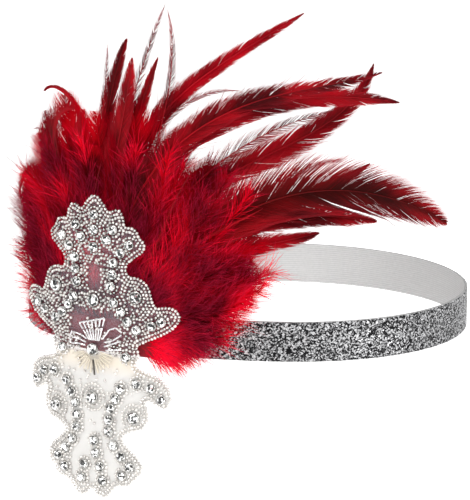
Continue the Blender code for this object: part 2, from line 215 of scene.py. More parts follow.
def strands(centres, radii, facing, flatness=1.0, sides=3):
    # Tapered hairs along rows of centres (N, K+1, 3): points, quads, tip and root faces,
    # and how far along its hair each point lies.
    count, rings = radii.shape
    ahead = np.gradient(centres, axis=1)
    ahead /= np.linalg.norm(ahead, axis=-1, keepdims=True) + 1e-12
    wide = np.cross(ahead, facing[:, None])
    wide /= np.linalg.norm(wide, axis=-1, keepdims=True) + 1e-12
    thin = np.cross(ahead, wide)
    angles = 2 * pi * np.arange(sides) / sides
    ring = (wide[:, :rings, None] * np.cos(angles)[:, None]
            + thin[:, :rings, None] * (np.sin(angles) * flatness)[:, None])
    points = centres[:, :rings, None] + ring * radii[:, :, None, None]
    points = np.concatenate([points.reshape(count, -1, 3), centres[:, rings:]], 1)
    size = rings * sides + 1
    base = np.arange(sides)
    after = (base + 1) % sides
    quads = [np.stack([base, after, after + sides, base + sides], 1) + sides * k
             for k in range(rings - 1)]
    tips = np.stack([base, after, np.full(sides, 0)], 1) + sides * (rings - 1)
    tips[:, 2] = size - 1
    shifts = (np.arange(count) * size)[:, None, None]
    faceSets = [
        (np.concatenate(quads)[None] + shifts).reshape(-1, 4),
        (tips[None] + shifts).reshape(-1, 3),
        (base[::-1][None, None] + shifts).reshape(-1, sides),
    ]
    along = np.concatenate([np.repeat(np.arange(rings) / rings, sides), [1]])
    return points.reshape(-1, 3), faceSets, np.tile(along, count)


def joinStrands(name, groups):
    # One mesh from several results of strands, each with its tints: (result, tint, dark).
    points, sets, along, tint, dark = [], [], [], [], []
    shift = 0
    for (spots, faceSets, share), tints, darks in groups:
        points.append(spots)
        sets += [faces + shift for faces in faceSets]
        along.append(share)
        tint.append(tints)
        dark.append(darks)
        shift += len(spots)
    return meshFromArrays(name, np.concatenate(points), sets, {
        "along": np.concatenate(along),
        "tint": np.concatenate(tint),
        "dark": np.concatenate(dark),
    })


def colour(*rgb):
    return (*rgb, 1.0)


def grey(shade):
    return (shade, shade, shade, 1.0)


def plug(tree, socket, value):
    # links the socket to another one, or sets a plain value
    if isinstance(value, bpy.types.NodeSocket):
        tree.links.new(value, socket)
    else:
        socket.default_value = value


def feed(tree, sockets, sources):
    for name, source in sources.items():
        plug(tree, sockets[name], source)


def addNode(tree, kind, given=None, **settings):
    node = tree.nodes.new(kind)
    for setting, value in settings.items():
        setattr(node, setting, value)
    feed(tree, node.inputs, given or {})
    return node


def newMaterial(name, **constants):
    material = bpy.data.materials.new(name)
    material.use_nodes = True
    shader = material.node_tree.nodes["Principled BSDF"]
    for socket, value in constants.items():
        shader.inputs[socket.replace("_", " ")].default_value = value
    return material, material.node_tree, shader.inputs


colourSockets = ["Colour", "Dark", "Light", "Deep", "Body", "Tip", "Shaft"]  # the others are numbers


def newGroup(name, inputs, outputs):
    # a shader node group with named sockets, what it is given and where its results go
    group = bpy.data.node_groups.new(name, "ShaderNodeTree")
    for way, labels in (("INPUT", inputs), ("OUTPUT", outputs)):
        for label in labels:
            kind = "NodeSocketColor" if label in colourSockets else "NodeSocketFloat"
            group.interface.new_socket(label, in_out=way, socket_type=kind)
    given = group.nodes.new("NodeGroupInput").outputs
    return group, given, group.nodes.new("NodeGroupOutput").inputs


def useGroup(tree, group, given):
    return addNode(tree, "ShaderNodeGroup", given, node_tree=group).outputs


def calc(tree, operation, *terms, **settings):
    # a maths node; its terms, as those of blend and rescale, are sockets or plain values
    given = dict(enumerate(terms))
    return addNode(tree, "ShaderNodeMath", given, operation=operation, **settings).outputs[0]


def blend(tree, factor, first, second):
    given = {0: factor, 6: first, 7: second}
    return addNode(tree, "ShaderNodeMix", given, data_type="RGBA").outputs[2]


def rescale(tree, value, low, high, toLow=0.0, toHigh=1.0):
    given = {"Value": value, "From Min": low, "From Max": high, "To Min": toLow, "To Max": toHigh}
    return addNode(tree, "ShaderNodeMapRange", given).outputs[0]


def objectPlace(tree):
    return addNode(tree, "ShaderNodeTexCoord").outputs["Object"]


def objectHeight(tree):
    return addNode(tree, "ShaderNodeSeparateXYZ", {0: objectPlace(tree)}).outputs["Z"]


def objectNoise(tree, scale, detail=2.0):
    given = {"Scale": scale, "Detail": detail, "Vector": objectPlace(tree)}
    return addNode(tree, "ShaderNodeTexNoise", given).outputs[0]


def objectCells(tree, scale):
    # cells on the object's own coordinates, and three random numbers for each cell
    cells = addNode(tree, "ShaderNodeTexVoronoi", {"Vector": objectPlace(tree), "Scale": scale}).outputs
    return cells, addNode(tree, "ShaderNodeSeparateColor", {0: cells["Color"]}).outputs


def bumpOf(tree, height, strength, distance):
    given = {"Strength": strength, "Distance": distance, "Height": height}
    return addNode(tree, "ShaderNodeBump", given).outputs[0]


def attributeOf(tree, name):
    return addNode(tree, "ShaderNodeAttribute", attribute_name=name).outputs["Fac"]


def makeFlakeGroup():
    # cells of random brightness: painted glints and dark reflections, for glitter flakes and plated
    # metal
    group, given, result = newGroup("silverFlakes", ["Scale", "Dark", "Light", "Smooth", "Rough"],
                                    ["Colour", "Roughness", "Height"])
    _, parts = objectCells(group, given["Scale"])
    paintedGlint = rescale(group, parts[0], 0.42, 0.90)
    feed(group, result, {
        "Colour": blend(group, paintedGlint, given["Dark"], given["Light"]),
        "Roughness": rescale(group, parts[1], 0.0, 1.0, given["Smooth"], given["Rough"]),
        "Height": parts[2]})
    return group


def makeFacetGroup():
    # small flat cells, each tilted its own way, so that a surface glints like cut glass; Shade is a
    # random number for each cell, for painting facets dark or bright
    group, given, result = newGroup("cutFacets", ["Scale"], ["Height", "Shade"])
    cells, parts = objectCells(group, given["Scale"])
    away = addNode(group, "ShaderNodeVectorMath", {0: objectPlace(group), 1: cells["Position"]},
                   operation="SUBTRACT").outputs[0]
    tilt = addNode(group, "ShaderNodeVectorMath", {0: cells["Color"], 1: (0.5, 0.5, 0.5)},
                   operation="SUBTRACT").outputs[0]
    slope = addNode(group, "ShaderNodeVectorMath", {0: away, 1: tilt}, operation="DOT_PRODUCT")
    feed(group, result, {"Height": slope.outputs["Value"], "Shade": parts[1]})
    return group


def makeBarbGroup():
    # the colour of a feather's barbs, by the attributes that its hairs carry: their dye, a painted glow
    # towards the tips, and in the darker tints partly painted shade
    group, given, result = newGroup(
        "barbDyeAndPaintedLight", ["Deep", "Body", "Tip", "Tip Share", "Shaft", "Patches"], ["Colour"])
    # painted glow: towards their tips the barbs blend into the Tip colour, which stands for light
    # shining through the thin ends
    share = calc(group, "MULTIPLY", calc(group, "POWER", attributeOf(group, "along"), 2.0),
                 given["Tip Share"])
    patch = rescale(group, objectNoise(group, 42, 1), 0.32, 0.68, -0.5, 0.5)
    patch = calc(group, "MULTIPLY", patch, given["Patches"])
    tint = calc(group, "ADD", patch, attributeOf(group, "tint"), use_clamp=True)
    # the tint runs from Deep to Body: the barbs' own tone, partly painted shade between feathers and
    # clumps
    tone = blend(group, tint, given["Deep"], given["Body"])
    tone = blend(group, share, tone, given["Tip"])
    feed(group, result, {"Colour": blend(group, attributeOf(group, "dark"), tone, given["Shaft"])})
    return group


# The camera, the floor and the light

camera = {
    "distance": 2.5,
    "elevation": radians(13.01),
    "roll": radians(0.94),
    "target": Vector((14.96 * mm, 0, 0)),    # what the fitted view looks straight at
    "aside": -20 * mm,                       # how far the frame's middle lies from it
    "above": 20 * mm,
    "lens": 488,
    "farEnd": 30,
}


def makeCamera():
    lift, roll = camera["elevation"], camera["roll"]
    right = Vector((1, 0, 0))
    above = Vector((0, sin(lift), cos(lift)))
    back = Vector((0, -cos(lift), sin(lift)))
    rolledRight = right * cos(roll) + above * sin(roll)
    rolledAbove = above * cos(roll) - right * sin(roll)
    stand = camera["target"] + back * camera["distance"]
    aim = camera["target"] + rolledRight * camera["aside"] + rolledAbove * camera["above"]
    away = (stand - aim).normalized()
    side = rolledAbove.cross(away).normalized()
    data = bpy.data.cameras.new("camera")
    data.sensor_fit = "HORIZONTAL"
    data.lens = camera["lens"]
    data.clip_end = camera["farEnd"]
    thing = bpy.data.objects.new("camera", data)
    turned = Matrix((side, away.cross(side), away)).transposed().to_4x4()
    thing.matrix_world = Matrix.Translation(stand) @ turned
    bpy.context.scene.collection.objects.link(thing)
    bpy.context.scene.camera = thing


studio = {
    "floorDrop": 0.35,
    "floorSize": 14.0,
    "floorGlow": 0.75,
    "fill": 0.34,
    "cardScale": 5.0,       # bright cards that only glossy surfaces see
    "cardEdges": (0.48, 0.54),
    "cardShine": 1.7,
    "lamps": [  # name, place, size, power
        ("keyLamp", (-0.9, -1.3, 1.6), 0.7, 23),
        ("fillLamp", (1.3, -1.2, 0.7), 1.0, 21),
        ("backLamp", (0.2, 1.4, 1.3), 0.9, 7),
    ],
}


def makeStudio():
    deselectAll()
    bpy.ops.mesh.primitive_plane_add(size=studio["floorSize"], location=(0, 0, -studio["floorDrop"]))
    floor = current("floor")
    material, tree, sockets = newMaterial("paleFloor", Roughness=0.9, Emission_Color=grey(1),
                                          Emission_Strength=studio["floorGlow"])
    feed(tree, sockets, {"Base Color": blend(tree, objectNoise(tree, 3.0, 3), grey(0.90), grey(0.94))})
    floor.data.materials.append(material)
    for name, spot, size, power in studio["lamps"]:
        data = bpy.data.lights.new(name, "AREA")
        data.size = size
        data.energy = power
        lamp = bpy.data.objects.new(name, data)
        lamp.location = spot
        lamp.rotation_euler = (-Vector(spot)).to_track_quat("-Z", "Y").to_euler()
        bpy.context.scene.collection.objects.link(lamp)
    world = bpy.data.worlds.new("studio")
    world.use_nodes = True
    bpy.context.scene.world = world
    tree = world.node_tree
    path = addNode(tree, "ShaderNodeLightPath").outputs
    where = addNode(tree, "ShaderNodeTexCoord").outputs["Generated"]
    cards = addNode(tree, "ShaderNodeTexNoise",
                    {"Scale": studio["cardScale"], "Detail": 2, "Vector": where}).outputs[0]
    card = rescale(tree, cards, *studio["cardEdges"])
    shine = blend(tree, card, colour(0.02, 0.02, 0.024), grey(studio["cardShine"]))
    seen = blend(tree, path["Is Camera Ray"], grey(studio["fill"]), grey(1))
    seen = blend(tree, path["Is Glossy Ray"], seen, shine)
    feed(tree, tree.nodes["Background"].inputs, {"Color": seen})
    bpy.context.scene.view_settings.view_transform = "Standard"
    print("studio: floor, lamps and camera")


# The elastic band: ribbed white elastic inside, a coat of silver glitter outside

elastic = {
    "around": 200,
    "ribs": 19,
    "rowsPerRib": 3,
    "ribDepth": 0.20 * mm,
    "wall": 0.75 * mm,
    "height": band["height"] - 0.2 * mm,
}
glitter = {
    "around": 700,
    "rows": 26,
    "rough": 0.24 * mm,
    "ragged": 0.22 * mm,     # how far the coat's edges come and go
    "wall": 0.25 * mm,
    "height": band["height"] - 0.9 * mm,
}


def ovalStrip(name, coat, rows, out):
    # An open strip round the oval, made from a grid, with each point's column and row.
    around, height = coat["around"], coat["height"]
    deselectAll()
    bpy.ops.mesh.primitive_grid_add(x_subdivisions=around, y_subdivisions=rows, size=1)
    strip = current(name)
    flat = coords(strip.data)
    turns = np.linspace(0, 2 * pi, 4801)
    steps = np.linalg.norm(np.diff(ovalPoint(turns, out)[0], axis=0), axis=1)
    along = np.concatenate([[0], np.cumsum(steps)])
    turn = np.interp((flat[:, 0] + 0.5) * along[-1], along, turns)
    spot, normal = ovalPoint(turn, out)
    points = np.concatenate([spot, flat[:, 1:2] * height], 1)
    column = np.round((flat[:, 0] + 0.5) * around).astype(int) % around
    row = np.round((flat[:, 1] + 0.5) * rows).astype(int)
    return strip, points, normal, column, row


def closeStrip(strip, wall):
    useOnly(strip)
    bpy.ops.object.mode_set(mode="EDIT")
    bpy.ops.mesh.select_all(action="SELECT")
    bpy.ops.mesh.remove_doubles(threshold=1e-6)
    bpy.ops.mesh.normals_make_consistent(inside=False)
    bpy.ops.object.mode_set(mode="OBJECT")
    modifier = strip.modifiers.new("Solidify", "SOLIDIFY")
    modifier.thickness = wall
    modifier.offset = -1
    bpy.ops.object.modifier_apply(modifier=modifier.name)


def insideOf(points, out):
    # 1 for the points nearer the inner face than this distance out, 0 for the others.
    spot, normal = ovalPoint(np.linspace(0, 2 * pi, 721), 0)
    near = np.argmin(((points[:, None, :2] - spot[None]) ** 2).sum(-1), 1)
    away = ((points[:, :2] - spot[near]) * normal[near]).sum(1)
    return (away < out).astype(float)


def makeBand():
    out = elastic["wall"] - band["thick"]
    strip, points, *_ = ovalStrip("bandElastic", elastic, elastic["ribs"] * elastic["rowsPerRib"], out)
    setCoords(strip.data, points)
    closeStrip(strip, elastic["wall"] - elastic["ribDepth"])
    points = coords(strip.data)
    height = points[:, 2] / elastic["height"] + 0.5
    wave = 0.5 - 0.5 * np.cos(2 * pi * height * elastic["ribs"])
    inwards = np.array([points[:, 0].mean(), 0]) - points[:, :2]
    inwards /= np.linalg.norm(inwards, axis=1, keepdims=True)
    inner = insideOf(points, out - elastic["wall"] / 2)
    points[:, :2] += inwards * (inner * wave * elastic["ribDepth"])[:, None]
    setCoords(strip.data, points)
    strip.data.shade_smooth()
    newPiece("bandElastic", strip.data, elasticMaterial(), ["elastic_band"])

    coat, points, normal, column, row = ovalStrip("bandGlitter", glitter, glitter["rows"], 0)
    grain = rng.random((glitter["around"], glitter["rows"] + 1))
    lift = grain[column, row] * glitter["rough"]
    points[:, :2] -= normal * (glitter["rough"] - lift)[:, None]
    edge = np.where(row == 0, -1, np.where(row == glitter["rows"], 1, 0))
    points[:, 2] += edge * rng.random(glitter["around"])[column] * glitter["ragged"]
    setCoords(coat.data, points)
    closeStrip(coat, glitter["wall"])
    newPiece("bandGlitter", coat.data, glitterMaterial(), ["elastic_band"])
    print("band: ribbed elastic and glitter coat")


def elasticMaterial():
    material, tree, sockets = newMaterial("ribbedElastic", Roughness=0.75)
    tone = blend(tree, objectNoise(tree, 900, 3), grey(0.43), colour(0.54, 0.54, 0.535))
    # painted shade: the grooves between the ribs are darkened towards grey 0.16
    phase = calc(tree, "MULTIPLY_ADD", objectHeight(tree),
                 2 * pi * elastic["ribs"] / elastic["height"], pi * elastic["ribs"])
    paintedGrooveShade = rescale(tree, calc(tree, "COSINE", phase), 0.55, 1.0, 0.0, 0.30)   # between the ribs
    feed(tree, sockets, {
        "Base Color": blend(tree, paintedGrooveShade, tone, grey(0.16)),
        "Normal": bumpOf(tree, objectNoise(tree, 2600, 2), 0.35, 0.1 * mm)})
    return material


def glitterMaterial():
    material, tree, sockets = newMaterial("silverGlitter", Metallic=0.80)
    # painted glints: each flake cell is painted near black or bright silver, as if it caught or missed
    # the light
    flakes = useGroup(tree, flakeGroup, {
        "Scale": 1900, "Dark": colour(0.004, 0.004, 0.005), "Light": colour(0.52, 0.52, 0.53),
        "Smooth": 0.18, "Rough": 0.5})
    feed(tree, sockets, {
        "Base Color": flakes["Colour"], "Roughness": flakes["Roughness"],
        "Normal": bumpOf(tree, flakes["Height"], 0.9, 0.25 * mm)})
    return material


# The applique: sheer ground, seed beads, cut stones in claw cups, bugle flower

outline = [  # half of it, from the top round the right side: share of half width, of height
    (0.00, 0.450), (0.10, 0.425), (0.16, 0.392), (0.22, 0.403), (0.29, 0.410), (0.34, 0.390),
    (0.36, 0.352), (0.42, 0.355), (0.49, 0.350), (0.53, 0.322), (0.60, 0.305), (0.58, 0.280),
    (0.50, 0.262), (0.37, 0.230), (0.40, 0.190), (0.52, 0.195), (0.64, 0.172), (0.67, 0.135),
    (0.71, 0.098), (0.82, 0.108), (0.94, 0.104), (1.00, 0.076), (0.92, 0.038), (0.77, 0.010),
    (0.59, -0.016), (0.50, -0.030), (0.55, -0.058), (0.49, -0.098), (0.57, -0.108),
    (0.74, -0.122), (0.88, -0.152), (0.91, -0.195), (0.84, -0.236), (0.71, -0.212),
    (0.60, -0.203), (0.65, -0.235), (0.66, -0.272), (0.58, -0.306), (0.44, -0.314),
    (0.33, -0.338), (0.44, -0.372), (0.56, -0.400), (0.61, -0.438), (0.52, -0.466),
    (0.43, -0.497), (0.30, -0.495), (0.24, -0.525), (0.14, -0.548), (0.04, -0.530),
    (0.00, -0.512),
]
mainStones = [  # across, up (shares, as above), big, repeated on the left
    (0.00, 0.383, 0, 0), (0.00, 0.333, 0, 0), (0.00, 0.277, 0, 0), (0.00, 0.103, 1, 0),
    (0.00, -0.216, 1, 0), (0.03, -0.358, 0, 0), (0.05, -0.398, 0, 0), (0.23, 0.341, 0, 1),
    (0.16, 0.305, 0, 1), (0.42, 0.298, 0, 1), (0.32, 0.269, 0, 1), (0.24, 0.234, 0, 1),
    (0.23, 0.196, 0, 1), (0.21, 0.156, 0, 1), (0.25, 0.104, 0, 1), (0.50, 0.130, 1, 1),
    (0.40, -0.069, 0, 1), (0.49, -0.266, 1, 1), (0.34, -0.176, 0, 1), (0.52, -0.153, 0, 1),
    (0.68, -0.162, 0, 1), (0.79, -0.195, 0, 1), (0.79, 0.058, 0, 1),
]
smallStones = [  # across, up, all repeated on the left
    (0.33, 0.076), (0.41, 0.047), (0.51, 0.023), (0.68, 0.041), (0.28, -0.211),
    (0.22, -0.245), (0.20, -0.283), (0.20, -0.322), (0.26, -0.365), (0.35, -0.399),
    (0.45, -0.430), (0.36, -0.462), (0.13, -0.487), (0.10, -0.442),
]
stone = {
    "width": 4.0 * mm,
    "bigWidth": 5.2 * mm,
    "foot": 7.3 * mm,        # how far out the cups stand
    "cupHeight": 1.2 * mm,
    "crown": 1.0 * mm,
    "girdle": 0.88,          # share of the stone's width
    "table": 0.52,           # shares of the girdle's width
    "stars": 0.80,
    "starHeight": 0.62,      # shares of the crown's height
    "edge": 0.06,
    "back": 0.9,
    "cupWidth": 0.94,        # shares of the stone's width
    "clawRing": 0.455,
    "clawLean": radians(-34),
    "clawSize": (0.28 * mm, 0.75 * mm, 1.25 * mm),
}
flower = {
    "up": -0.060,            # share of the applique's height
    "bugleThick": 1.2 * mm,
    "fanBugles": 7,
    "fanFoot": [(-1.2, -3.6), (3.0, -3.4)],   # chart mm: the fan's foot and its top edge
    "fanTop": [(-6.3, 2.6), (5.5, 6.0)],
    "petals": [  # chart mm: the lines of bugles that frame the side petals
        [(4.6, -2.4), (7.6, 1.7), (10.4, 2.8), (13.2, 1.2)], [(5.4, -3.6), (9.2, -2.4), (13.0, 0.4)],
        [(5.4, -5.2), (8.6, -3.9), (12.4, -2.2)], [(6.0, -6.6), (9.6, -6.0), (13.0, -5.6)],
        [(-2.6, -3.2), (-5.2, -2.0), (-9.4, -1.4)], [(-3.0, -4.6), (-6.0, -3.8), (-9.8, -3.6)],
        [(-3.2, -5.8), (-6.4, -5.6), (-10.0, -6.0)], [(-9.8, -1.2), (-11.0, -3.4), (-10.4, -6.2)],
    ],
    "rays": [99, 108, 117, 128, 140, 151, 162, 173, 184, 195, 206, 218, 230, 242, 254],  # degrees
    "darkRay": 7,                             # one smoky bugle among them
}
beadRow = {
    "size": 1.45 * mm,
    "gap": 1.38 * mm,
    "squash": 0.82,
    "out": 0.35 * mm,
    "offStones": 0.45 * mm,
    "offFlower": 6.4 * mm,
    "edgeRows": (0.2, 1.7),                # mm in from the edge
    "innerRows": (3.1, 4.5, 5.9, 7.3),
    "closest": {"row": 0.80, "inner": 0.84, "fill": 0.86},     # shares of the gap
    "linedBelow": -9.0 * mm,  # from here down the ground is lined, and has few fill beads
    "lowerFill": 0.10,
    "windows": [  # left open, bare sheer ground: across and up of the middle, half sizes, mm
        (0, 21.5, 3.0, 4.8), (-7.2, 4.2, 3.8, 4.4), (7.8, 5.2, 3.8, 4.2), (9.6, 0, 3.6, 2.2),
        (0, 6.5, 6.0, 1.6), (11.2, 19.8, 1.6, 1.4), (-11.2, 19.8, 1.6, 1.4), (-8.0, 0, 2.6, 1.4),
        (22.4, 18.6, 1.8, 2.4), (-15.6, 20.6, 2.6, 1.5), (30.6, 10.8, 3.2, 1.3), (17.4, 38.6, 1.6, 1.6),
        (-24.0, 13.6, 3.4, 1.5), (10.6, 31.6, 1.2, 2.6),
    ],
    "rings": [  # rows round a stone: across, up, radius, all in mm
        (0, 12.4, 3.7), (0, -25.9, 3.8), (0, -25.9, 5.2), (18.6, 15.6, 3.7), (18.2, -31.9, 3.7),
        (18.2, -31.9, 5.1), (14.9, -8.3, 3.1), (8.5, 40.9, 3.0), (0, 46.0, 3.1),
        (15.6, 35.8, 3.1), (4.8, -58.4, 3.1), (13.4, -55.4, 3.1), (16.7, -51.6, 3.1),
    ],
}


def chartOutline(step, inset):
    # Evenly spaced chart points this far inside the applique's outline.
    right = np.array([(a * halfWidth, u * applique["height"]) for a, u in outline])
    whole = np.concatenate([right, (right * [-1, 1])[-2:0:-1]])
    for _ in range(2):  # corner cutting, for round lobes
        after = np.roll(whole, -1, axis=0)
        whole = np.stack([whole * 0.75 + after * 0.25, whole * 0.25 + after * 0.75], 1)
        whole = whole.reshape(-1, 2)
    ahead = np.roll(whole, -1, axis=0) - np.roll(whole, 1, axis=0)
    ahead /= np.linalg.norm(ahead, axis=1, keepdims=True)
    whole = whole - np.stack([-ahead[:, 1], ahead[:, 0]], 1) * inset
    return evenly(np.concatenate([whole, whole[:1]]), step)


def evenly(line, step):
    # Points about this far apart along a line.
    lengths = np.concatenate([[0], np.cumsum(np.linalg.norm(np.diff(line, axis=0), axis=1))])
    count = max(2, int(lengths[-1] / step))
    marks = np.linspace(0, lengths[-1], count, endpoint=False)
    return np.stack([np.interp(marks, lengths, line[:, k]) for k in (0, 1)], 1)


def insideOutline(spots, edge):
    # Which chart points lie inside the closed edge, by counting crossings.
    x, y = spots[:, 0, None], spots[:, 1, None]
    x0, y0 = edge[:, 0], edge[:, 1]
    x1, y1 = np.roll(x0, -1), np.roll(y0, -1)
    crosses = (y0 > y) != (y1 > y)
    with np.errstate(divide="ignore", invalid="ignore"):
        hit = x < (x1 - x0) * (y - y0) / (y1 - y0) + x0
    return (crosses & hit).sum(1) % 2 == 1


def allStones():
    # Chart place and width of every stone: the main ones in their nodes' order first.
    found = []
    for across, up, big, mirrored in mainStones:
        width = stone["bigWidth"] if big else stone["width"]
        for side in (1, -1) if mirrored else (1,):
            found.append((side * across * halfWidth, up * applique["height"], width))
    for across, up in smallStones:
        for side in (1, -1):
            found.append((side * across * halfWidth, up * applique["height"], stone["width"]))
    return np.array(found)


def standing(across, up, out, turn, scale=1.0):
    # 4x4 matrices that set copies on the applique, their own +Z facing outwards.
    spot = place(across, up, out)
    _, sideways, normal = chartFrame(np.asarray(across, float))
    level = np.zeros(len(spot))
    x = np.stack([sideways[:, 0], sideways[:, 1], level], 1)
    y = np.tile([0.0, 0.0, 1.0], (len(spot), 1))
    z = np.stack([normal[:, 0], normal[:, 1], level], 1)
    c, s = np.cos(turn)[:, None], np.sin(turn)[:, None]
    scale = np.broadcast_to(scale, (len(spot),))[:, None]
    made = np.zeros((len(spot), 4, 4))
    made[:, :3, 0] = (x * c + y * s) * scale
    made[:, :3, 1] = (y * c - x * s) * scale
    made[:, :3, 2] = z * scale
    made[:, :3, 3] = spot
    made[:, 3, 3] = 1
    return made


ground = {
    "edgeStep": 1.6 * mm,
    "inset": 0.4 * mm,
    "squares": 3 * mm,       # it is cut in squares, so that it wraps smoothly
    "beyond": 12 * mm,
    "sunk": 0.35 * mm,       # its outer face, inside the applique's
    "pucker": 0.12 * mm,
    "thick": 0.15 * mm,
}


def makeGround():
    edge = chartOutline(ground["edgeStep"], ground["inset"])
    curve = bpy.data.curves.new("sheerGround", "CURVE")
    curve.dimensions = "2D"
    curve.fill_mode = "BOTH"
    spline = curve.splines.new("POLY")
    spline.points.add(len(edge) - 1)
    spline.use_cyclic_u = True
    for point, (across, up) in zip(spline.points, edge):
        point.co = (across, up, 0, 1)
    thing = bpy.data.objects.new("sheerGround", curve)
    bpy.context.scene.collection.objects.link(thing)
    useOnly(thing)
    bpy.ops.object.convert(target="MESH")
    thing = current("sheerGround")
    sheet = bmesh.new()
    sheet.from_mesh(thing.data)
    for normal, reach in (((1, 0, 0), halfWidth), ((0, 1, 0), applique["height"] / 2)):
        reach += ground["beyond"]
        for cut in np.arange(-reach, reach, ground["squares"]):
            everything = sheet.verts[:] + sheet.edges[:] + sheet.faces[:]
            bmesh.ops.bisect_plane(sheet, geom=everything, plane_co=Vector(normal) * cut,
                                   plane_no=normal)
    bmesh.ops.triangulate(sheet, faces=sheet.faces)
    sheet.to_mesh(thing.data)
    sheet.free()
    flat = coords(thing.data)
    pucker = ground["pucker"] * np.sin(flat[:, 0] * 900 + np.sin(flat[:, 1] * 500) * 2)
    out = applique["outside"] - ground["sunk"] + pucker
    setCoords(thing.data, place(flat[:, 0], flat[:, 1], out))
    closeStrip(thing, ground["thick"])
    thing.data.shade_smooth()
    newPiece("sheerGround", thing.data, organzaMaterial(), ["applique_ground"])


def organzaMaterial():
    # thin above, where the red shows through; lined and milky below, cream round the flower
    material, tree, sockets = newMaterial("sheerOrganza", Roughness=0.4)
    height = objectHeight(tree)
    lined = rescale(tree, height, -6.5 * mm, -9.5 * mm)
    tone = blend(tree, objectNoise(tree, 120), colour(0.50, 0.42, 0.50), colour(0.66, 0.59, 0.64))
    milk = blend(tree, objectNoise(tree, 90), colour(0.72, 0.70, 0.68), colour(0.80, 0.78, 0.75))
    cream = rescale(tree, height, -17 * mm, -12 * mm)
    milk = blend(tree, cream, milk, colour(0.86, 0.77, 0.64))
    threads = addNode(tree, "ShaderNodeTexVoronoi", {
        "Scale": 3200, "Randomness": 0.25, "Vector": objectPlace(tree)}, feature="DISTANCE_TO_EDGE")
    net = rescale(tree, threads.outputs["Distance"], 0.05, 0.30, 0.18, 0.04)
    feed(tree, sockets, {
        "Base Color": blend(tree, lined, tone, milk),
        "Alpha": calc(tree, "MAXIMUM", net, rescale(tree, lined, 0, 1, 0, 0.62))})
    return material


def ringOf(across, up, radius, gap):
    # Points round a middle, about this far apart.
    turns = np.linspace(0, 2 * pi, max(6, int(2 * pi * radius / gap)) + 1)[:-1]
    return np.stack([across + radius * np.cos(turns), up + radius * np.sin(turns)], 1)


def beadSpots():
    # Chart places of the seed beads: rows, halos round the stones, and a looser fill.
    gap = beadRow["gap"]
    stones = allStones()
    windows = np.array(beadRow["windows"]) * mm
    flowerMiddle = np.array([0, flower["up"] * applique["height"]])
    placed = np.zeros((0, 2))

    def settle(spots, kind):
        nonlocal placed
        for spot in spots:
            onBead = np.hypot(*(placed - spot).T) < gap * beadRow["closest"][kind]
            onStone = np.hypot(*(stones[:, :2] - spot).T) < stones[:, 2] / 2 + beadRow["offStones"]
            onFlower = np.hypot(*(flowerMiddle - spot)) < beadRow["offFlower"]
            inWindow = kind != "row" and (np.abs(spot - windows[:, :2]) < windows[:, 2:]).all(1).any()
            if not (onBead.any() or onStone.any() or onFlower or inWindow):
                placed = np.concatenate([placed, spot[None]])

    for inset in beadRow["edgeRows"]:
        settle(chartOutline(gap, inset * mm), "row")
    for across, up, width in stones:
        settle(ringOf(across, up, width / 2 + beadRow["size"] * 0.55, gap), "row")
    for across, up, radius in beadRow["rings"]:
        for side in (1, -1) if across else (1,):
            settle(ringOf(side * across, up, radius, gap / mm) * mm, "row")
    for inset in beadRow["innerRows"]:
        row = chartOutline(gap, inset * mm)
        settle(row[row[:, 1] > beadRow["linedBelow"]], "inner")
    step = gap * 0.98
    grid = np.array([((i + 0.5 * (j % 2)) * step, j * step * 0.87)
                     for j in range(-60, 60) for i in range(-40, 40)])
    grid += rng.normal(0, 0.12 * mm, grid.shape)
    grid = grid[insideOutline(grid, chartOutline(1.0 * mm, 1.4 * mm))]
    kept = (grid[:, 1] > beadRow["linedBelow"]) | (rng.random(len(grid)) < beadRow["lowerFill"])
    settle(grid[kept], "fill")
    return placed


def makeBeads():
    placed = beadSpots()
    deselectAll()
    bpy.ops.mesh.primitive_uv_sphere_add(segments=8, ring_count=4, radius=beadRow["size"] / 2)
    bead = current("beadShape")
    bpy.ops.transform.resize(value=(beadRow["squash"], 1, 1))
    bpy.ops.object.transform_apply(location=False, rotation=False, scale=True)
    count = len(placed)
    out = applique["outside"] + beadRow["out"] + rng.normal(0, 0.1 * mm, count)
    matrices = standing(placed[:, 0], placed[:, 1], out, rng.uniform(0, pi, count),
                        rng.uniform(0.86, 1.06, count))
    tints = rng.random(count) ** 0.62
    tints = np.where(placed[:, 1] < beadRow["linedBelow"], 0.55 + 0.45 * tints, tints)
    mesh = copiesMesh("seedBeads", bead.data, matrices, tints)
    bpy.data.objects.remove(bead, do_unlink=True)
    mesh.shade_smooth()
    newPiece("seedBeads", mesh, beadMaterial())
    print("applique:", count, "seed beads")


def beadMaterial():
    material, tree, sockets = newMaterial("silverLinedGlass", Roughness=0.12, Alpha=0.78)
    tint = attributeOf(tree, "tint")
    feed(tree, sockets, {
        "Base Color": blend(tree, tint, colour(0.40, 0.375, 0.36), colour(0.98, 0.95, 0.91)),
        "Metallic": rescale(tree, tint, 0.0, 1.0, 0.85, 0.30)})
    return material


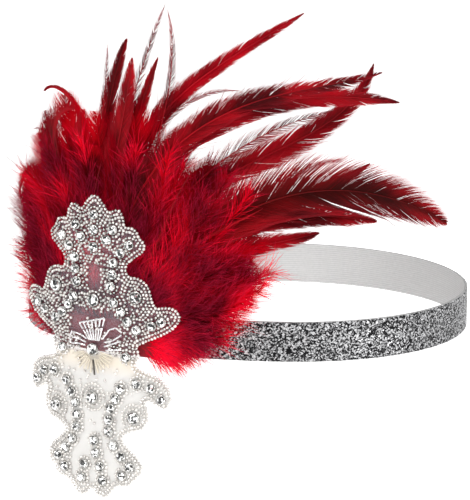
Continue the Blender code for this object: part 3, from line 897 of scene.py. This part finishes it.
def brilliantMesh(width):
    # A round cut stone: table, stars, kites, girdle facets and a pointed back.
    r, h = width / 2 * stone["girdle"], stone["crown"] * width / stone["width"]
    lift = stone["cupHeight"] + 0.02 * mm

    def ring(count, share, height, turn=0.0):
        turns = [k * 2 * pi / count + turn for k in range(count)]
        return [(share * r * cos(t), share * r * sin(t), height) for t in turns]

    edge = stone["edge"] * h
    points = ring(8, stone["table"], lift + h)
    points += ring(8, stone["stars"], lift + stone["starHeight"] * h, pi / 8)
    points += ring(16, 1, lift + edge) + ring(16, 1, lift - edge) + [(0, 0, lift - stone["back"] * h)]
    faces = [tuple(range(8))]
    for k in range(8):
        after, before = (k + 1) % 8, (k - 1) % 8
        g = 16 + 2 * k
        faces.append((k, 8 + k, after))
        faces.append((k, 8 + before, g, 8 + k))
        faces.append((8 + k, g, g + 1))
        faces.append((8 + k, g + 1, 16 + (2 * k + 2) % 16))
    for k in range(16):
        after = (k + 1) % 16
        faces.append((16 + k, 32 + k, 32 + after, 16 + after))
        faces.append((32 + k, 48, 32 + after))
    mesh = bpy.data.meshes.new("brilliant")
    mesh.from_pydata(points, [], faces)
    shape = bmesh.new()
    shape.from_mesh(mesh)
    bmesh.ops.recalc_face_normals(shape, faces=shape.faces)
    shape.to_mesh(mesh)
    shape.free()
    return mesh


def cupMesh(width):
    # A plated claw cup: a dished round with four claws bent over the stone.
    deselectAll()
    bpy.ops.mesh.primitive_cylinder_add(vertices=16, radius=width / 2 * stone["cupWidth"],
                                        depth=stone["cupHeight"],
                                        location=(0, 0, stone["cupHeight"] / 2))
    cup = current("cupShape")
    bpy.ops.object.transform_apply(location=True)
    bpy.ops.object.mode_set(mode="EDIT")
    bpy.ops.mesh.select_all(action="DESELECT")
    bpy.ops.object.mode_set(mode="OBJECT")
    for face in cup.data.polygons:
        face.select = face.center.z > stone["cupHeight"] * 0.9
    bpy.ops.object.mode_set(mode="EDIT")
    bpy.ops.mesh.inset(thickness=width * 0.05)
    bpy.ops.transform.translate(value=(0, 0, -stone["cupHeight"] * 0.55))
    bpy.ops.object.mode_set(mode="OBJECT")
    for k in range(4):
        turn = pi / 4 + k * pi / 2
        ring = width * stone["clawRing"]
        bpy.ops.mesh.primitive_cube_add(
            size=1, location=(cos(turn) * ring, sin(turn) * ring, stone["cupHeight"] * 0.86),
            rotation=(0, stone["clawLean"], turn), scale=stone["clawSize"])
        claw = bpy.context.active_object
        bpy.ops.object.transform_apply(location=True, rotation=True, scale=True)
        claw.select_set(True)
        cup.select_set(True)
        bpy.context.view_layer.objects.active = cup
        bpy.ops.object.join()
    mesh = cup.data.copy()
    bpy.data.objects.remove(cup, do_unlink=True)
    return mesh


def makeStones():
    stones = allStones()
    glass, metal = stoneMaterial(), platedMaterial()
    mainCount = sum(2 if mirrored else 1 for *_, mirrored in mainStones)
    foot = np.full(len(stones), stone["foot"])
    foot[mainCount:] = applique["outside"]
    turn = rng.uniform(0, pi / 4, len(stones))
    places = standing(stones[:, 0], stones[:, 1], foot, turn)
    tints = rng.random(len(stones))
    big = stones[:, 2] > stone["width"] * 1.1
    brilliants = {True: brilliantMesh(stone["bigWidth"]), False: brilliantMesh(stone["width"])}
    for number in range(mainCount):
        chosen = slice(number, number + 1)
        mesh = copiesMesh(f"cutStone_{number + 1:02d}", brilliants[bool(big[number])],
                          places[chosen], tints[chosen])
        newPiece(mesh.name, mesh, glass, [f"stone_{number + 1:02d}"])
    small = copiesMesh("smallStones", brilliants[False], places[mainCount:], tints[mainCount:])
    newPiece("smallStones", small, glass, ["applique_ground"])
    for name, chosen, width in (("clawCups", ~big, stone["width"]),
                                ("bigClawCups", big, stone["bigWidth"])):
        cups = copiesMesh(name, cupMesh(width), places[chosen], tints[chosen])
        newPiece(name, cups, metal)
    print("applique:", len(stones), "cut stones in claw cups")


def stoneMaterial():
    material, tree, sockets = newMaterial("foiledCrystal", Metallic=0.95, Coat_Weight=0.6)
    facets = useGroup(tree, facetGroup, {"Scale": 1150})
    # painted reflections: each facet cell is painted near black or near white, as the facets of a
    # foiled stone mirror dark and bright surroundings
    shade = rescale(tree, facets["Shade"], 0.40, 0.50)
    feed(tree, sockets, {
        "Base Color": blend(tree, shade, grey(0.05), colour(0.97, 0.97, 0.96)),
        "Roughness": rescale(tree, facets["Shade"], 0, 1, 0.03, 0.12),
        "Normal": bumpOf(tree, facets["Height"], 1.0, 1.3)})
    return material


def platedMaterial():
    material, tree, sockets = newMaterial("platedSilver", Metallic=1.0)
    # painted glints: the cups' cells are painted lighter or darker grey, as plated metal that glints
    # unevenly
    flakes = useGroup(tree, flakeGroup, {
        "Scale": 1300, "Dark": colour(0.50, 0.49, 0.47), "Light": colour(0.88, 0.87, 0.85),
        "Smooth": 0.15, "Rough": 0.4})
    feed(tree, sockets, {"Base Color": flakes["Colour"], "Roughness": flakes["Roughness"]})
    return material


def heading(angle):
    # The chart direction at this angle in degrees, from straight up towards the right.
    return np.array([sin(radians(angle)), cos(radians(angle))])


def bugleLines(middle):
    # The chart ends of the bugle beads: the framed fan, the side petals, then loose rays.
    low, high = np.array(flower["fanFoot"]), np.array(flower["fanTop"])
    lines = []
    for share in np.linspace(0, 1, flower["fanBugles"]):  # two in line, from the stone upwards
        foot, tip = low[0] + (low[1] - low[0]) * share, high[0] + (high[1] - high[0]) * share
        lines += [(foot, foot + (tip - foot) * 0.60), (foot + (tip - foot) * 0.64, tip)]
    top = high[1] - high[0]
    lines += [(high[0] + top * share, high[0] + top * (share + 0.33)) for share in (0, 0.34, 0.67)]
    for petal in flower["petals"]:
        lines += zip(petal, petal[1:])
    rays = [(middle + heading(angle) * (3.7 + 0.5 * sin(angle)) * mm,
             middle + heading(angle) * (9.2 + 0.8 * sin(angle * 0.7)) * mm) for angle in flower["rays"]]
    return np.concatenate([np.array(lines) * mm, rays])


def makeFlower():
    middle = np.array([0.0, flower["up"] * applique["height"]])
    lines = bugleLines(middle)
    clear = len(lines) - len(flower["rays"])
    starts, ends = lines[:, 0], lines[:, 1]

    deselectAll()
    bpy.ops.mesh.primitive_cylinder_add(vertices=8, radius=flower["bugleThick"] / 2, depth=1)
    tube = current("bugleShape")
    for face in tube.data.polygons:
        face.select = abs(face.normal.z) > 0.9
    bpy.ops.object.mode_set(mode="EDIT")
    bpy.ops.mesh.select_mode(type="FACE")
    bpy.ops.mesh.inset(thickness=flower["bugleThick"] * 0.22, use_individual=True)
    bpy.ops.object.mode_set(mode="OBJECT")
    axis = (ends - starts) * 0.94
    centre = (starts + ends) / 2
    length = np.linalg.norm(axis, axis=1)
    turn = np.arctan2(axis[:, 1], axis[:, 0])
    matrices = standing(centre[:, 0], centre[:, 1],
                        np.full(len(centre), stone["foot"] + flower["bugleThick"] * 0.62), turn)
    lie = np.zeros((len(centre), 4, 4))
    lie[:, 0, 2] = length
    lie[:, 1, 0] = lie[:, 2, 1] = 0.62     # thinner than the tube's own width
    lie[:, 3, 3] = 1
    tints = 0.75 + 0.25 * rng.random(len(centre))
    tints[clear:] = 0.30 + 0.30 * rng.random(len(centre) - clear)
    tints[clear + flower["darkRay"]] = 0
    mesh = copiesMesh("bugleFlower", tube.data, matrices @ lie, tints)
    bpy.data.objects.remove(tube, do_unlink=True)
    newPiece("bugleFlower", mesh, bugleMaterial(), ["bugle_flower"])
    mid = standing(middle[:1], middle[1:], np.array([stone["foot"]]), np.array([0.2]))
    gem = copiesMesh("flowerStone", brilliantMesh(stone["bigWidth"]), mid, np.array([0.5]))
    newPiece("flowerStone", gem, stoneMaterial(), ["bugle_flower"])
    cup = copiesMesh("flowerCup", cupMesh(stone["bigWidth"]), mid, np.array([0.5]))
    newPiece("flowerCup", cup, platedMaterial())
    print("applique: flower of", len(centre), "bugle beads")


def bugleMaterial():
    # smoky, then cream, then clear silver-lined, by each bugle's tint
    material, tree, sockets = newMaterial("bugleGlass", Roughness=0.08, Alpha=0.85)
    tint = attributeOf(tree, "tint")
    tone = blend(tree, rescale(tree, tint, 0.05, 0.25), colour(0.10, 0.085, 0.07),
                 colour(0.88, 0.80, 0.66))
    feed(tree, sockets, {
        "Base Color": blend(tree, rescale(tree, tint, 0.60, 0.80), tone, colour(0.97, 0.95, 0.96)),
        "Metallic": rescale(tree, tint, 0.60, 0.80, 0.10, 0.65)})
    return material


# The feathers: long hackles, softer ones between them, down, and loose thin ones

hackleRows = [  # root, lean, curl, flick, length, width, layer, dark centre
    (-0.3, -18, 8, -190, 0.5, 0.3, 0, 0.4),
    (-0.22, 15, -140, 219, 0.54, 0.4, 2, 0.2),
    (-0.13, -51, 206, -290, 0.63, 0.16, 1, 0.0),
    (-0.05, -5, 19, 9, 0.66, 0.36, 0, 0.6),
    (0.03, -4, 36, -19, 0.63, 0.36, 2, 0.4),
    (0.11, -2, 31, -5, 0.64, 0.26, 1, 0.6),
    (0.22, -21, 131, -55, 0.95, 0.28, 0, 0.1),
    (0.32, -11, 141, -41, 1.05, 0.48, 2, 0.2),
    (0.4, 2, 145, -130, 0.92, 0.42, 1, 0.5),
    (0.48, 22, 96, -67, 0.7, 0.3, 0, 0.5),
    (0.56, 23, 88, 0, 0.9, 1.0, 2, 0.85),
    (0.65, 16, 108, -32, 0.66, 0.42, 1, 0.5),
    (0.73, 21, 97, -48, 0.46, 0.3, 0, 0.3),
]
looseRows = [  # thin ones: root mm, lean, curl, flick, length mm, half width mm, layer mm
    (5, -7, 43, -12, 130, 2.1, 2.0), (10, 2, 45, -58, 127, 2.3, 2.5),
    (11, -13, 148, -65, 175, 4.6, 4.4), (13, 10, 72, -10, 131, 3.9, 3.0),
    (9, -4, 35, 62, 118, 2.2, 1.6), (3, -28, 124, -93, 107, 1.6, 1.4),
    (-6, -26, 14, 2, 80, 7.5, 2.2), (-3, -15, 8, 0, 82, 7.5, 1.7), (0, -8, 4, 0, 80, 6.5, 2.6),
    (-1, -10, 38, -19, 109, 1.6, 3.0), (-9, -10, 39, -145, 85, 1.4, 3.0),
    (20, 30, 30, 15, 110, 2.8, 2.4), (22, 28, 70, -8, 99, 2.6, 2.0),
    (10, 34, -32, 37, 71, 0.5, 5.0), (-2, -8, 18, 12, 62, 0.5, 5.2),
    (14, 21, 74, -38, 76, 0.5, 5.0),
]
barb = {
    "angle": (27, 37),      # degrees from the shaft at a barb's root: narrow and broad feathers
    "broad": 9 * mm,
    "straighten": 0.62,     # share of that angle lost by its tip
    "clump": 11 * mm,
    "splits": 0.17,         # share of the clumps that part from their neighbours
    "splitTurn": (4, 9),    # degrees between the first and the last barb of such a clump
    "calmFrom": 5 * mm,     # broader vanes swing less, or their tips would part
    "swing": 2.5,           # degrees, of a clump
    "turnJitter": 0.4,      # and of a barb
    "strayTurn": (3, 8),
    "vane": (2.38, 0.5, 0.8),    # how its width grows from the root and closes at the tip
    "rootTuft": 0.9 * mm,
    "widthJitter": 0.06,
    "lift": 0.4 * mm,
    "liftJitter": 0.08 * mm,
    "cup": 0.16,
    # the tone of clumps varies at random, partly as painted shade between them
    "shade": 0.18,          # how far the tone of clumps and of barbs varies
    "shadeJitter": 0.12,
    "levels": np.array([0, 0.36, 0.7, 1.0]),
    "taper": np.array([1.0, 0.86, 0.50]),
}
hackle = {
    "quill": 0.55 * mm,
    "spacing": 0.33 * mm,   # between barbs
    "halfWidth": 0.21 * mm,
    "stray": 0.06,          # share of the barbs that stand loose
    "tone": 0.56,
    "dyeAndPaintedLight": {"Deep": colour(0.07, 0.0, 0.002), "Body": colour(0.50, 0.002, 0.010),
            "Tip": colour(0.52, 0.030, 0.046), "Tip Share": 0.42,
            "Shaft": colour(0.03, 0.004, 0.003), "Patches": 0.85},
}
# loose feathers: the broad or short ones are closer set, the others sparse and wispy
closeLoose = {"quill": 0.48 * mm, "spacing": 0.42 * mm, "halfWidth": 0.23 * mm, "stray": 0.3,
              "tone": 0.35, "dark": 0.3}
wispyLoose = {**closeLoose, "spacing": 0.66 * mm, "halfWidth": 0.15 * mm}
softFeather = {
    "count": 43,
    "pieces": 4,
    "leans": (-64, 90),     # degrees
    "foot": (4, 10, 2, 3),  # mm: the oval on the pad that they start from
    "quill": 0.35 * mm,
    "spacing": 0.40 * mm,
    "halfWidth": 0.19 * mm,
    "stray": 0.12,
    "dark": 0.35,
    "vane": (8.5, 13.0),    # mm
    "slimmest": 0.27,       # of its length
    "layer": (0.5, 4.4),    # mm
    "reach": (0.78, 1.06),
    "sideLoss": (0.10, 0.36),     # how much shorter the ones on the left and right are
    # the middle leans get painted shade
    "shaded": (-16, 18),    # the leans of the darkest ones, in the middle
    "dyeAndPaintedLight": {"Deep": colour(0.07, 0.0, 0.001), "Body": colour(0.78, 0.0, 0.008),
            "Tip": colour(0.80, 0.001, 0.020), "Tip Share": 0.5,
            "Shaft": colour(0.08, 0.001, 0.002), "Patches": 1.25},
}
down = {
    "plumes": 64,
    "barbsEach": 292,
    "pieces": 3,
    "leans": (-80, 106),    # degrees
    "foot": (4, 14, -2, 4),      # mm, as above
    "reach": (0.50, 0.92),
    "layer": (1.5, 5.2),    # mm
    "swell": (-2, 9),       # mm further out, past the applique's edge
    "barb": (9, 20),        # mm
    "alongShaft": (0.10, 0.98),
    "spread": (4, 40),      # degrees to either side
    "tilt": (4, 18),        # degrees outwards, and how much it varies
    "bend": 0.15,
    "wave": 0.018,
    "tone": (0.15, 0.85),
    "thickness": (0.7, 1.3),
    "shortest": 3.5 * mm,
    "radius": 0.090 * mm,
    "levels": np.array([0, 0.36, 0.72, 1.0]),
    "taper": np.array([1.0, 1.0, 0.8]),
    # Tip: a pinker painted glow, for light shining through the thin ends of the barbs
    "dyeAndPaintedLight": {"Deep": colour(0.11, 0.0, 0.002), "Body": colour(0.94, 0.0, 0.014),
            "Tip": colour(0.94, 0.036, 0.13), "Tip Share": 0.50, "Shaft": colour(0.2, 0, 0.01),
            "Patches": 1.5},
}
clearance = {
    "behind": 0.45 * mm,    # hairs stay this far behind the applique
    "edge": 1.04,           # and may rise past this share of its edge
    "easing": 0.45,
    "rise": 30 * mm,
    "bandHalf": 9 * mm,     # near the band's height they stay off it
    "offBand": 0.35 * mm,
    "lowest": -4 * mm,
}
lockReach = [  # lean in degrees, share of the lock length
    (-112, 0.42), (-96, 0.60), (-84, 0.68), (-72, 0.76), (-60, 0.92), (-48, 1.12), (-36, 1.22),
    (-24, 1.32), (-12, 1.36), (0, 1.30), (12, 1.40), (24, 1.36), (36, 1.46), (48, 1.40),
    (60, 1.36), (72, 1.16), (84, 0.80), (96, 0.54), (112, 0.38),
]


def roomAt(lean):
    # how far down and soft feathers may reach; those that lie on their side start off the middle
    leans, reaches = np.array(lockReach).T
    aside = np.interp(lean, [-60, -35, 68, 90], [10 * mm, 0, 0, 11 * mm])
    return fan["lockLength"] * np.interp(lean, leans, reaches) - aside


def footAt(lean, oval):
    # the chart point of the pad where a soft feather of this lean starts
    across, wide, up, high = np.array(oval) * mm
    return np.array([across + wide * sin(radians(lean)), up + high * cos(radians(lean))])


def shaft(start, lean, curl, flick, length, count=240):
    # chart points and directions along a shaft, turning as the model's feathers do
    share = np.linspace(0, 1, count + 1)
    angle = np.radians(lean + curl * share + flick * share ** 3)
    ahead = np.stack([np.sin(angle), np.cos(angle)], 1)
    steps = (ahead[1:] + ahead[:-1]) / 2 * length / count
    spots = np.concatenate([[start], start + np.cumsum(steps, axis=0)])
    return share, spots, ahead


def readShaft(path, share):
    # the chart points and directions at these shares of a shaft
    marks, spots, ahead = path
    spot = np.stack([np.interp(share, marks, spots[:, k]) for k in (0, 1)], -1)
    way = np.stack([np.interp(share, marks, ahead[:, k]) for k in (0, 1)], -1)
    return spot, way / np.linalg.norm(way, axis=-1, keepdims=True)


def settleHair(across, up, out):
    # world points, kept behind the applique, and off the band where it passes
    past = smooth((edgeShare(across, up) - clearance["edge"]) / clearance["easing"])
    most = applique["inside"] - clearance["behind"] + past * clearance["rise"]
    least = np.where(np.abs(up) < clearance["bandHalf"], clearance["offBand"], clearance["lowest"])
    return place(across, up, np.clip(out, least, most))


def featherStrands(path, length, halfVane, layer, dark, bodyTone, kind):
    # the quill and the barbs of one feather, as strand groups
    groups = []
    count = int(length * (1 - fan["quillShare"]) / kind["spacing"])
    levels = barb["levels"]
    steps = np.diff(levels)
    middles = (levels[1:] + levels[:-1]) / 2
    lean = np.interp(halfVane, [0.5 * barb["broad"], barb["broad"]], barb["angle"])
    calm = min(1.0, barb["calmFrom"] / halfVane)
    full, opening, closing = barb["vane"]
    for side in (1, -1):
        share = np.linspace(fan["quillShare"], 0.995, count)
        share = np.clip(share + rng.normal(0, 0.15 / count, count), 0.04, 0.997)
        spot, ahead = readShaft(path, share)
        aside = np.stack([ahead[:, 1], -ahead[:, 0]], 1) * side
        body = np.clip((share - fan["quillShare"]) / (1 - fan["quillShare"]), 0.001, 1)
        vane = halfVane * full * body ** opening * (1 - body) ** closing
        vane += barb["rootTuft"] * (1 - body)
        vane *= rng.normal(1.0, barb["widthJitter"], count)
        clumps = share * length / barb["clump"] * rng.uniform(0.8, 1.2) + rng.random()
        number = clumps.astype(int)
        last = number.max() + 1
        splits = rng.uniform(*barb["splitTurn"], last) * (rng.random(last) < barb["splits"])
        drift = rng.normal(0, 1, (last + 1, 3))
        part = (clumps - number)[:, None]
        perClump = drift[number] * (1 - part) + drift[number + 1] * part
        loose = rng.random(count) < kind["stray"]
        vane = np.where(loose, vane * rng.uniform(0.9, 1.35, count), vane)
        jitter = rng.normal(0, barb["turnJitter"], count)
        angle = lean + calm * (perClump[:, 0] * barb["swing"] + jitter)
        angle += calm * splits[number] * (clumps - number - 0.5)
        angle = np.where(loose, angle + rng.normal(*barb["strayTurn"], count), angle)
        turns = np.radians(angle[:, None] * (1 - barb["straighten"] * middles))
        reach = vane / np.sin(np.radians(lean * (1 - barb["straighten"] / 2)))
        across = np.concatenate([np.zeros((count, 1)), np.cumsum(np.sin(turns) * steps, 1)], 1)
        forward = np.concatenate([np.zeros((count, 1)), np.cumsum(np.cos(turns) * steps, 1)], 1)
        across, forward = across * reach[:, None], forward * reach[:, None]
        chart = (spot[:, None] + aside[:, None] * across[..., None]
                 + ahead[:, None] * forward[..., None])
        lift = perClump[:, 1] * barb["lift"] + rng.normal(0, barb["liftJitter"], count)
        cup = barb["cup"] * across ** 2 / (halfVane + 2 * mm)
        out = layer * flareAt(chart[..., 0], chart[..., 1]) + cup + lift[:, None] * levels
        centres = settleHair(chart[..., 0], chart[..., 1], out)
        thin = np.where(loose, 0.5, 1.0) * rng.uniform(0.85, 1.1, count)
        radii = kind["halfWidth"] * barb["taper"] * thin[:, None]
        facing = np.zeros((count, 3))
        facing[:, :2] = chartFrame(spot[:, 0])[2]
        made = strands(centres, radii, facing, flatness=0.4)
        size = len(made[0]) // count
        # each clump's tone varies at random, partly as painted shade between the clumps
        tone = bodyTone + perClump[:, 2] * barb["shade"] + rng.normal(0, barb["shadeJitter"], count)
        groups.append((made, np.repeat(np.clip(tone, 0, 1), size), dark * (1 - made[2]) ** 1.5))
    marks = np.linspace(0, 1, 31)
    spot, ahead = readShaft(path, marks)
    layerOut = layer * flareAt(spot[:, 0], spot[:, 1]) + 0.1 * mm
    centre = settleHair(spot[:, 0], spot[:, 1], layerOut)[None]
    radii = kind["quill"] * (1 - 0.86 * marks[:-1])[None]
    made = strands(centre, radii, np.array([[0, -1.0, 0]]), sides=6)
    groups.append((made, np.full(len(made[0]), 0.8), np.full(len(made[0]), dark * 0.9)))
    return groups


def makeHackles():
    material = dyeAndPaintedLightMaterial("darkRedHackle", 0.45, 0.06, hackle["dyeAndPaintedLight"])
    rootUp = fan["padTop"] + fan["rootGap"]
    for number, (root, lean, curl, flick, long, wide, layer, dark) in enumerate(hackleRows, 1):
        length = fan["hackleLength"] * long
        path = shaft(np.array([root * halfWidth, rootUp]), lean, curl, flick, length)
        out = fan["firstLayer"] + layer * fan["layerStep"]
        groups = featherStrands(path, length, fan["hackleHalfWidth"] * wide, out, dark,
                                hackle["tone"], hackle)
        mesh = joinStrands(f"hackleFeather_{number:02d}", groups)
        newPiece(mesh.name, mesh, material, [f"hackle_{number:02d}"])
    print("feathers:", len(hackleRows), "long hackles")

    groups = []
    for root, lean, curl, flick, long, wide, layer in looseRows:
        path = shaft(np.array([root * mm, rootUp]), lean, curl, flick, long * mm)
        kind = closeLoose if wide > 4 or long < 85 else wispyLoose
        groups += featherStrands(path, long * mm, wide * mm, layer * mm, kind["dark"],
                                 kind["tone"], kind)
    newPiece("looseFeathers", joinStrands("looseFeathers", groups), material)
    print("feathers:", len(looseRows), "loose thin ones")


def makeSoftFeathers():
    # the mass between the long ones: broad soft feathers that overlap like a fan
    material = dyeAndPaintedLightMaterial("softHackle", 0.6, 0.03, softFeather["dyeAndPaintedLight"])
    groups = [[] for _ in range(softFeather["pieces"])]
    first, last = softFeather["leans"]
    for number in range(softFeather["count"]):
        lean = first + number * (last - first) / softFeather["count"] + rng.normal(0, 3)
        length = roomAt(lean) * rng.uniform(*softFeather["reach"])
        loss = softFeather["sideLoss"][0 if lean < 0 else 1]
        length *= 1 - loss * abs(sin(radians(lean * 0.6)))
        path = shaft(footAt(lean, softFeather["foot"]), lean * 0.9, rng.normal(0.12 * lean, 9),
                     rng.normal(0, 8), length)
        half = min(rng.uniform(*softFeather["vane"]) * mm, softFeather["slimmest"] * length)
        tone = 0.5 + 0.46 * sin(number * 2.3)
        # painted shade: the soft feathers in the middle, deep in the mass, are darkened to 0.45 of
        # their tone
        tone *= 0.45 if softFeather["shaded"][0] < lean < softFeather["shaded"][1] else 1.0
        groups[number % softFeather["pieces"]] += featherStrands(
            path, length, half, rng.uniform(*softFeather["layer"]) * mm, softFeather["dark"], tone,
            softFeather)
    for number, parts in enumerate(groups, 1):
        newPiece(f"softFeathers_{number}", joinStrands(f"softFeathers_{number}", parts), material)
    print("feathers:", softFeather["count"], "soft ones")


def makeDown():
    # marabou: soft shafts that fan out from the pad, with long curved barbs all round
    material = dyeAndPaintedLightMaterial("crimsonDown", 0.8, 0.03, down["dyeAndPaintedLight"])
    groups = [[] for _ in range(down["pieces"])]
    levels = down["levels"]
    for number in range(down["plumes"]):
        lean = np.interp(number, [0, down["plumes"] - 1], down["leans"]) + rng.normal(0, 2.5)
        room = roomAt(lean)
        length = room * rng.uniform(*down["reach"])
        path = shaft(footAt(lean, down["foot"]), lean, rng.normal(0, 10), rng.normal(0, 8), length)
        layer = rng.uniform(*down["layer"]) * mm
        swell = rng.uniform(*down["swell"]) * mm
        plumeTone = rng.uniform(*down["tone"])
        count = down["barbsEach"]
        share = rng.uniform(*down["alongShaft"], count)
        spot, ahead = readShaft(path, share)
        aside = np.stack([ahead[:, 1], -ahead[:, 0]], 1)
        reach = rng.uniform(*down["barb"], count) * mm * (0.55 + 0.45 * np.sin(pi * share ** 0.7))
        least = down["shortest"]
        reach = np.minimum(reach, np.maximum(least, room * 1.02 + least - share * length))
        spread = np.radians(rng.uniform(*down["spread"], count)) * rng.choice([-1, 1], count)
        tilt = np.radians(rng.normal(*down["tilt"], count))
        bend = rng.normal(0, down["bend"], (count, 3))
        wave = rng.normal(0, down["wave"], (count, len(levels), 3)) * levels[:, None]
        way = np.stack([
            (ahead[:, 0] * np.cos(spread) + aside[:, 0] * np.sin(spread)) * np.cos(tilt),
            (ahead[:, 1] * np.cos(spread) + aside[:, 1] * np.sin(spread)) * np.cos(tilt),
            np.sin(tilt)], 1)
        route = way[:, None] * levels[:, None] + bend[:, None] * levels[:, None] ** 2 + wave
        route *= reach[:, None, None]
        across = spot[:, None, 0] + route[..., 0]
        up = spot[:, None, 1] + route[..., 1]
        free = smooth((edgeShare(across, up) - 1.1) / 0.5)
        out = layer * flareAt(across, up) + swell * free + route[..., 2]
        centres = settleHair(across, up, out)
        radii = down["radius"] * down["taper"] * rng.uniform(*down["thickness"], (count, 1))
        made = strands(centres, radii, rng.normal(0, 1, (count, 3)))
        size = len(made[0]) // count
        tone = np.clip(plumeTone + rng.normal(0, 0.10, count), 0, 1)
        groups[number % down["pieces"]].append(
            (made, np.repeat(tone, size), np.zeros(len(made[0]))))
    for number, parts in enumerate(groups, 1):
        newPiece(f"down_{number}", joinStrands(f"down_{number}", parts), material,
                 ["marabou_fluff"] if number == 1 else [])
    print("feathers: down of", down["plumes"] * down["barbsEach"], "barbs")


def dyeAndPaintedLightMaterial(name, roughness, specular, dyeAndPaintedLight):
    material, tree, sockets = newMaterial(name, Roughness=roughness, Specular_IOR_Level=specular)
    feed(tree, sockets, {"Base Color": useGroup(tree, barbGroup, dyeAndPaintedLight)["Colour"]})
    return material


felt = {
    "middle": (4.75 * mm, -1.5 * mm, 0),
    "size": (49 * mm, 13.6 * mm, 5.0 * mm),
    "round": 1.2 * mm,
    "cuts": 7,
    "out": 3.0 * mm,
}


def makePad():
    # the felt pad behind the applique that the feathers are glued to
    deselectAll()
    bpy.ops.mesh.primitive_cube_add(size=1, location=felt["middle"], scale=felt["size"])
    pad = current("feltPad")
    bpy.ops.object.transform_apply(location=True, rotation=True, scale=True)
    bpy.ops.object.mode_set(mode="EDIT")
    bpy.ops.mesh.select_all(action="SELECT")
    bpy.ops.mesh.bevel(offset=felt["round"], segments=3)
    bpy.ops.mesh.select_all(action="SELECT")
    bpy.ops.mesh.subdivide(number_cuts=felt["cuts"])
    bpy.ops.object.mode_set(mode="OBJECT")
    flat = coords(pad.data)
    setCoords(pad.data, place(flat[:, 0], flat[:, 1], felt["out"] + flat[:, 2]))
    pad.data.shade_smooth()
    material, tree, sockets = newMaterial("redFelt", Roughness=0.95)
    feed(tree, sockets, {
        "Base Color": blend(tree, objectNoise(tree, 700, 4), colour(0.12, 0, 0.004),
                            colour(0.28, 0.002, 0.01)),
        "Normal": bumpOf(tree, objectNoise(tree, 1800, 3), 0.6, 0.3 * mm)})
    newPiece("feltPad", pad.data, material, ["marabou_fluff"])
    print("feathers: felt pad")


flakeGroup = makeFlakeGroup()
facetGroup = makeFacetGroup()
barbGroup = makeBarbGroup()
makeCamera()
makeStudio()
makeBand()
makePad()
makeGround()
makeBeads()
makeStones()
makeFlower()
makeHackles()
makeSoftFeathers()
makeDown()
